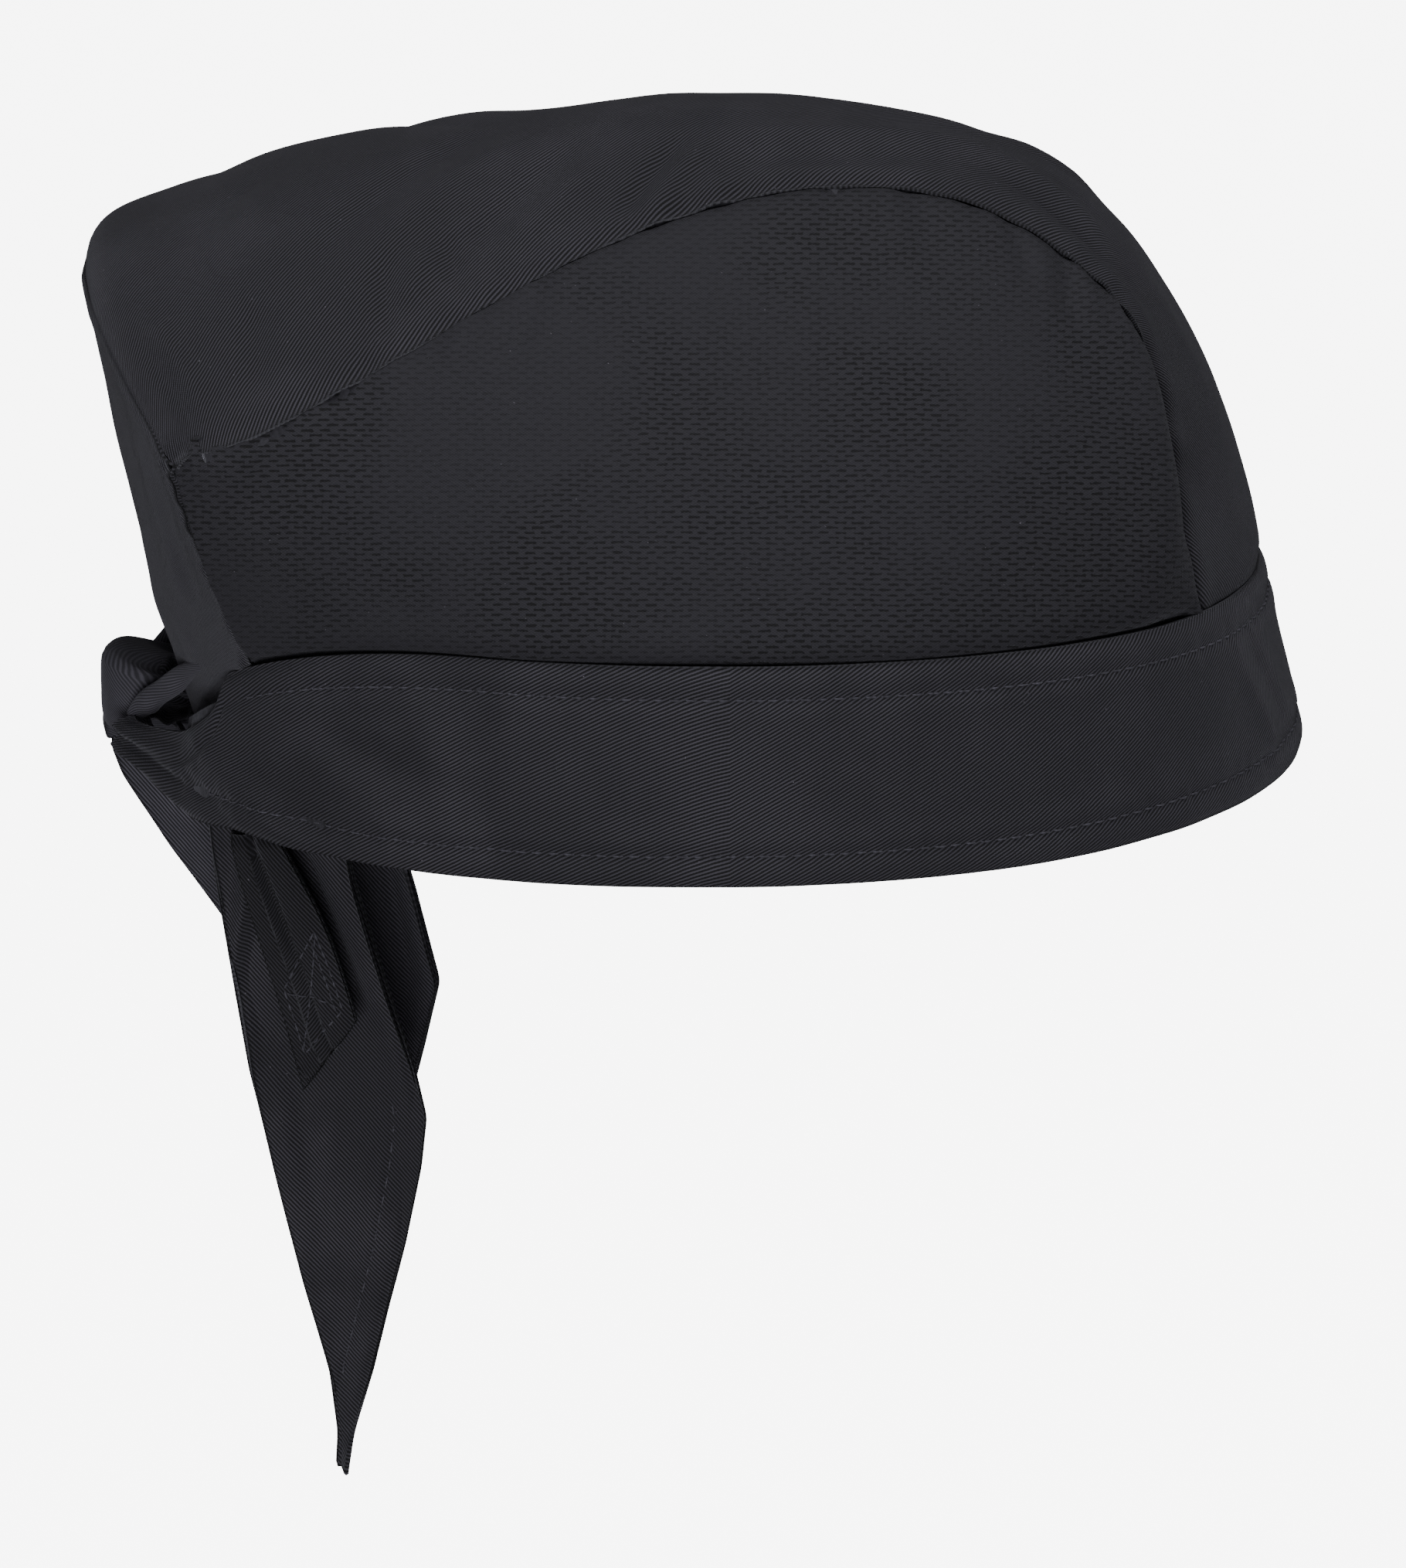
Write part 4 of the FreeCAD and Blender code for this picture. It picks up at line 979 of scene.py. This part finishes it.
FOLD_TOP, RIGHT_TIP, LEFT_TIP = -4.0, -134.5, -97.4
HEM_INSET, HEM_PITCH, HEM_THICK = 5.0, 3.2, 0.34
RIGHT_HEM, LEFT_HEM = (-116.0, -62.0), (-86.0, -52.0)
TO_RIGHT = np.array([-1.0, 0.0, 0.0])


def line_of(*corners):
    """An edge y(z) through (z, y) corners, from the top down, its corners barely rounded."""
    heights, places = [-z for z, _ in corners], [y for _, y in corners]

    def edge(height):
        near_by = [np.interp(height + step, heights, places) for step in (-1.0, -0.4, 0.4, 1.0)]
        return (sum(near_by) / 4.0)[..., None]
    return edge


def hanging(rear, front, top, foot, rows, columns):
    """Places y and z on a grid between two edges y(z), and the share from rear to front."""
    z, beside = sweep((top, foot, rows), (0, 1, columns))
    rear_y, front_y = rear(-z)[..., 0], front(-z)[..., 0]
    return rear_y + (front_y - rear_y) * beside, z, beside


def tail_ply(side, ply, face, cloth_twill, with_fold):
    """One ply of a tail, from the fold line down, where it leaves the part that the knot holds."""
    name = "tail_%s" % side
    uv = np.stack([-face[..., 1], face[..., 2]], -1)
    piece = cloth("%s_%s_cloth" % (name, ply), face, TWILL, uv, TO_RIGHT, cloth_twill)
    nodes = ["%s_%s_ply" % (name, ply)] + ([name + "_fold"] if with_fold else [])
    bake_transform(piece)
    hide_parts(*nodes)


def hem_thread(name, face, width, reach, out):
    """A row of stitches along a tail's front hem, on the face that looks along out."""
    low, high = reach
    column = np.clip(1.0 - HEM_INSET / np.maximum(width, 7.0), 0.1, 0.9)
    beside = np.linspace(0, 1, face.shape[1])
    line = np.array([[np.interp(column[i], beside, face[i, :, c]) for c in range(3)]
                     for i in range(len(face)) if low < face[i, 0, 2] < high])
    outs = np.tile(out, (len(line), 1))
    thread = row_of_stitches(name + "_hem_thread", line, outs, HEM_PITCH, HEM_THICK, THREAD)
    join(thread, name, name + "_hem_stitch")


RIGHT_X, LEFT_X, STRAP_X = -22.0, 16.0, -30.0
RIGHT_REAR = line_of((-4, 91.8), (-14, 91.0), (-35, 87.9), (-57, 84.7), (-78, 80.4), (-98, 75.9),
                     (-116, 71.4), (-128, 70.2), (-134.5, 70.6))
RIGHT_FRONT = line_of((-4, 69.5), (-14, 68.2), (-21.6, 66.8), (-42.5, 61.0), (-56.5, 56.8),
                      (-65.5, 54.8), (-75, 55.9), (-90, 58.9), (-102, 61.9), (-116, 65.2),
                      (-128.6, 69.0), (-134.5, 70.0))
LEFT_REAR = line_of((-4, 111.2), (-8.6, 111.4), (-13.8, 109.6), (-27, 101.6), (-41.5, 92.1),
                    (-68, 78.6), (-97.5, 64.2))
LEFT_FRONT = line_of((-4, 66.0), (-20, 62.4), (-36, 58.0), (-54.5, 53.7), (-66, 56.4), (-80, 60.0),
                     (-97.5, 63.2))


# Folds of the near tail's outer face and of the far tail, by y and z.
RIGHT_FOLDS = (
    ((83.0, -4.0), (88.5, -40.0), 1.6, 3.2),
    ((79.0, -10.0), (82.5, -52.0), 3.0, -1.6),
    ((83.0, -50.0), (72.5, -110.0), 3.4, 1.3),
    ((77.0, -58.0), (68.0, -108.0), 3.2, -0.9),
    ((66.0, -20.0), (57.5, -58.0), 2.4, 1.4),
    ((77.5, -12.0), (66.0, -44.0), 2.3, -4.6),
    ((73.5, -60.0), (70.0, -104.0), 2.6, 0.8),
    ((62.0, -70.0), (67.0, -112.0), 2.6, 0.7),
)
LEFT_FOLDS = (
    ((64.0, -20.0), (58.0, -54.0), 1.6, -1.3),
    ((58.5, -52.0), (61.5, -76.0), 1.6, -1.3),
    ((61.0, -22.0), (54.5, -52.0), 2.4, 1.0),
    ((104.0, -8.0), (84.0, -50.0), 4.0, 0.9),
    ((92.0, -6.0), (76.0, -60.0), 5.0, -1.0),
)


def tail_right():
    for ply in ("outer", "inner"):
        y, z, beside = hanging(RIGHT_REAR, RIGHT_FRONT, FOLD_TOP, RIGHT_TIP, 161, 49)
        down = FOLD_TOP - z
        width = RIGHT_REAR(-z)[..., 0] - RIGHT_FRONT(-z)[..., 0]
        relief = ripples(y, z, 50.0, 0.8) * ease(down / 30.0) + ripples(y, z, 16.0, 0.12)
        if ply == "outer":
            relief = folded(relief, y, z, RIGHT_FOLDS)
            relief += 0.8 * near(beside * width, 1.6) - 0.9 * near(width - beside * width, 1.2)
            relief += 3.5 * ease((down - 108.0) / 24.0) * (beside - 0.35)
            relief -= 0.25 * near((1.0 - beside) * width - HEM_INSET, 0.7) * ease((down - 40) / 15)
        else:
            relief -= 1.5 + 0.6 * np.sin(down * 0.07) + 0.4 * ease((down - 112.0) / 20.0)
            y = y + (0.6 - beside) * 1.1 * ease(down / 20.0)
        face = stack(RIGHT_X - TWILL - relief, y, z)
        tail_ply("right", ply, face, TAIL_TWILL, ply == "outer")
        if ply == "outer":
            hem_thread("tail_right", face, width[:, 0], RIGHT_HEM, TO_RIGHT)


def tail_left():
    for ply in ("inner", "outer"):
        y, z, beside = hanging(LEFT_REAR, LEFT_FRONT, FOLD_TOP, LEFT_TIP, 121, 49)
        down = FOLD_TOP - z
        width = LEFT_REAR(-z)[..., 0] - LEFT_FRONT(-z)[..., 0]
        relief = ripples(y, z, 44.0, 0.8) * ease(down / 25.0) + ripples(y, z, 15.0, 0.12)
        relief = folded(relief, y, z, LEFT_FOLDS)
        if ply == "outer":
            relief = relief * 0.7 - 1.3 - 0.4 * np.sin(down * 0.08)
            y = y + (0.5 - beside) * ease(down / 20.0)
        face = stack(LEFT_X - TWILL - relief, y, z)
        # The far tail gets the twill painted lighter, as painted light in its shade.
        tail_ply("left", ply, face, FAR_TAIL_PAINTED_LIGHT_TWILL, ply == "inner")
        if ply == "outer":
            hem_thread("tail_left", face + [TWILL, 0.0, 0.0], width[:, 0], LEFT_HEM, -TO_RIGHT)


# The short tie end, as (y, z) corners of its rear and front edges, from the top down.
STRAP_REAR = ((87.2, -9.0), (86.1, -16.0), (81.0, -34.9), (77.8, -46.7), (75.4, -57.2))
STRAP_FRONT = ((79.8, -9.0), (77.6, -13.0), (73.4, -21.6), (69.6, -31.4), (66.2, -44.0))


def strap_place(down, beside):
    """A place (y, z) on the strap: down it from 0 to 1, beside from its rear edge to its front."""
    places = np.linspace(0, 1, len(STRAP_REAR))
    rear = smooth_curve(places, np.array(STRAP_REAR))(down)
    front = smooth_curve(places, np.array(STRAP_FRONT))(down)
    return rear + (front - rear) * beside[..., None]


def strap_relief(down, beside):
    """The two folded flaps of the strap, their gap near the top and the curl towards the knot."""
    gap = ease((0.56 - down) / 0.16)
    middle = 0.42 + 0.10 * down
    flap = 0.55 * np.sin(np.clip(beside / middle, 0, 1) * math.pi) \
        + 0.65 * np.sin(np.clip((beside - middle) / (1 - middle), 0, 1) * math.pi)
    valley = (0.35 + 1.3 * gap) * near((beside - middle) * 11.0, 0.55 + 0.35 * gap)
    stitched = 0.30 * near((down - 0.76) / 0.18, 1.0)
    tuck = 1.6 * ease((0.16 - down) / 0.16)
    return flap * (1.0 - stitched) - valley - tuck


# The strap's box stitching: runs from one (beside, down) corner to the next.
BOX_RUNS = (((0.14, 0.58), (0.86, 0.58)), ((0.86, 0.58), (0.88, 0.92)), ((0.76, 0.60), (0.78, 0.90)),
            ((0.88, 0.92), (0.16, 0.88)), ((0.14, 0.58), (0.16, 0.88)), ((0.16, 0.60), (0.84, 0.90)),
            ((0.84, 0.60), (0.16, 0.86)))
BOX_PITCH, BOX_STITCH, BOX_SAMPLES = 1.9, 1.5, 60


def strap():
    down, beside = sweep((0, 1, 91), (0, 1, 41))
    sway = 0.15 * np.sin(down * 14.0)
    for ply in ("outer", "inner"):
        grid, relief = strap_place(down, beside), strap_relief(down, beside)
        if ply == "outer":
            lift = ease((down - 0.86) / 0.14) * (1.0 - beside)
            relief += 1.5 * lift
            grid = grid + lift[..., None] * [-0.8, 2.6]
        else:
            relief -= 1.15
            grid = grid + (0.5 - beside)[..., None] * [0.5, 0.0]
        face = stack(STRAP_X - 0.75 - relief + sway, grid[..., 0], grid[..., 1])
        facing_flap = (beside > 0.28) & (beside < 0.52) & (down > 0.2)
        uv = np.stack([np.where(facing_flap, face[..., 1], -face[..., 1]), face[..., 2]], -1)
        piece = cloth("strap_%s_cloth" % ply, face, TWILL, uv, TO_RIGHT, STRAP_TWILL)
        join(piece, "strap", "strap_%s_ply" % ply)
    centres, runs = [], []
    for start, end in BOX_RUNS:
        beside, down = np.linspace(start, end, BOX_SAMPLES).T
        x = STRAP_X - 0.8 - strap_relief(down, beside) + 0.15 * np.sin(down * 14.0)
        row = np.column_stack([x, strap_place(down, beside)])
        count = max(int(np.linalg.norm(np.diff(row, axis=0), axis=1).sum() / BOX_PITCH), 2)
        index = np.arange(len(row))
        for place in (np.arange(count) + 0.5) / count * (len(row) - 1):
            ahead, behind = (np.array([np.interp(place + step, index, row[:, c]) for c in range(3)])
                             for step in (1.0, -1.0))
            centres.append((ahead + behind) / 2)
            runs.append(ahead - behind)
    outs = np.tile(TO_RIGHT, (len(centres), 1))
    thread = stitches("strap_box_thread", np.array(centres), np.array(runs), outs, BOX_STITCH,
                      THREAD_THICK, THREAD)
    join(thread, "strap", "strap_box_stitch")


# ---- build, stage, lights and camera ------------------------------------------------------------

def build():
    angle, height, face = band_cloth()
    band_stitches(face_reader(angle, height, face))
    lining_depth = TWILL + PLY_GAP
    inner_band("headband_lining_cloth", "headband_lining", LINING_CLOTH, BAND_END - 12.0,
               0.6, 60.0, lining_depth, LINING, 0.08)
    inner_band("sweatband_cloth", "sweatband", TERRY_CLOTH, 100.0, 1.5, 30.0,
               lining_depth + LINING + PLY_GAP, TERRY, 0.12)
    seam_tapes()
    crown_top()
    mesh_side("mesh_side_left", "side_panel_left", 1.0)
    mesh_side("mesh_side_right", "side_panel_right", -1.0)
    back_cloth()
    care_label()
    knot_loop()
    tie_rolls()
    knot_core()
    tie_root("tie_root_right_cloth", "tie_root_right", -1.0,
             [(-4, 111, 5), (-9.5, 106.5, 0.2), (-16, 99.8, -5.2), (-22.6, 91.9, -8.5)],
             [(-6, 103.5, 3), (-12, 98, 0.6), (-18, 85, -1.8), (-22.6, 69.0, -5.0)])
    tie_root("tie_root_left_cloth", "tie_root_left", 1.0,
             [(4, 111, 5), (9, 112.2, 1.5), (13, 112.6, -2.5), (16.2, 112.2, -6.5)],
             [(6, 103.5, 3), (10, 98, 0.6), (14, 84, -1.8), (16.2, 66.5, -5.0)])
    tail_right()
    tail_left()
    strap()


CAMERA_DISTANCE, CAMERA_ELEVATION = 1.4, math.radians(19.5)
VIEW_HEIGHT, SENSOR = 0.280, 36.0
FLOOR_Z, FLOOR_REACH = -0.42, 6.0


def camera():
    lens = bpy.data.cameras.new("camera")
    lens.sensor_fit, lens.sensor_height, lens.sensor_width = "VERTICAL", SENSOR, SENSOR
    lens.lens = SENSOR * CAMERA_DISTANCE / VIEW_HEIGHT
    lens.shift_x, lens.shift_y = -0.0168, -0.0343
    eye = bpy.data.objects.new("camera", lens)
    eye.location = (-CAMERA_DISTANCE * math.cos(CAMERA_ELEVATION), 0.0,
                    CAMERA_DISTANCE * math.sin(CAMERA_ELEVATION))
    eye.rotation_euler = (-Vector(eye.location)).to_track_quat("-Z", "Y").to_euler()
    bpy.context.scene.collection.objects.link(eye)
    bpy.context.scene.camera = eye


def area_light(name, place, size, power):
    data = bpy.data.lights.new(name, "AREA")
    data.shape, data.size, data.energy = "DISK", size, power
    lamp = bpy.data.objects.new(name, data)
    lamp.location = place
    lamp.rotation_euler = (Vector((0.0, 0.0, 0.03)) - Vector(place)).to_track_quat("-Z", "Y").to_euler()
    bpy.context.scene.collection.objects.link(lamp)


def stage():
    n = Nodes("pale_floor")
    shader = n.add("ShaderNodeBsdfPrincipled")
    n.feed(shader, Base_Color=(0.93, 0.93, 0.93, 1.0), Roughness=0.9,
           Emission_Color=(1.0, 1.0, 1.0, 1.0), Emission_Strength=7.0)
    n.link(shader.outputs[0], n.add("ShaderNodeOutputMaterial").inputs[0])
    corners = [(x * FLOOR_REACH, y * FLOOR_REACH, FLOOR_Z) for x, y in ((-1, -1), (1, -1), (1, 1), (-1, 1))]
    mesh = bpy.data.meshes.new("floor")
    mesh.from_pydata(corners, [], [(0, 1, 2, 3)])
    mesh.materials.append(n.material)
    floor = bpy.data.objects.new("floor", mesh)
    bpy.context.scene.collection.objects.link(floor)
    floor.visible_diffuse = floor.visible_glossy = False
    world = bpy.data.worlds.new("studio")
    bpy.context.scene.world = world
    world.use_nodes = True
    sky = world.node_tree.nodes["Background"]
    sky.inputs["Color"].default_value = (1.0, 1.0, 1.0, 1.0)
    sky.inputs["Strength"].default_value = 0.17
    area_light("overhead", (-0.25, -0.1, 1.6), 1.1, 22.0)
    area_light("front_box", (-1.7, 0.14, -0.04), 0.8, 27.0)


build()
stage()
camera()
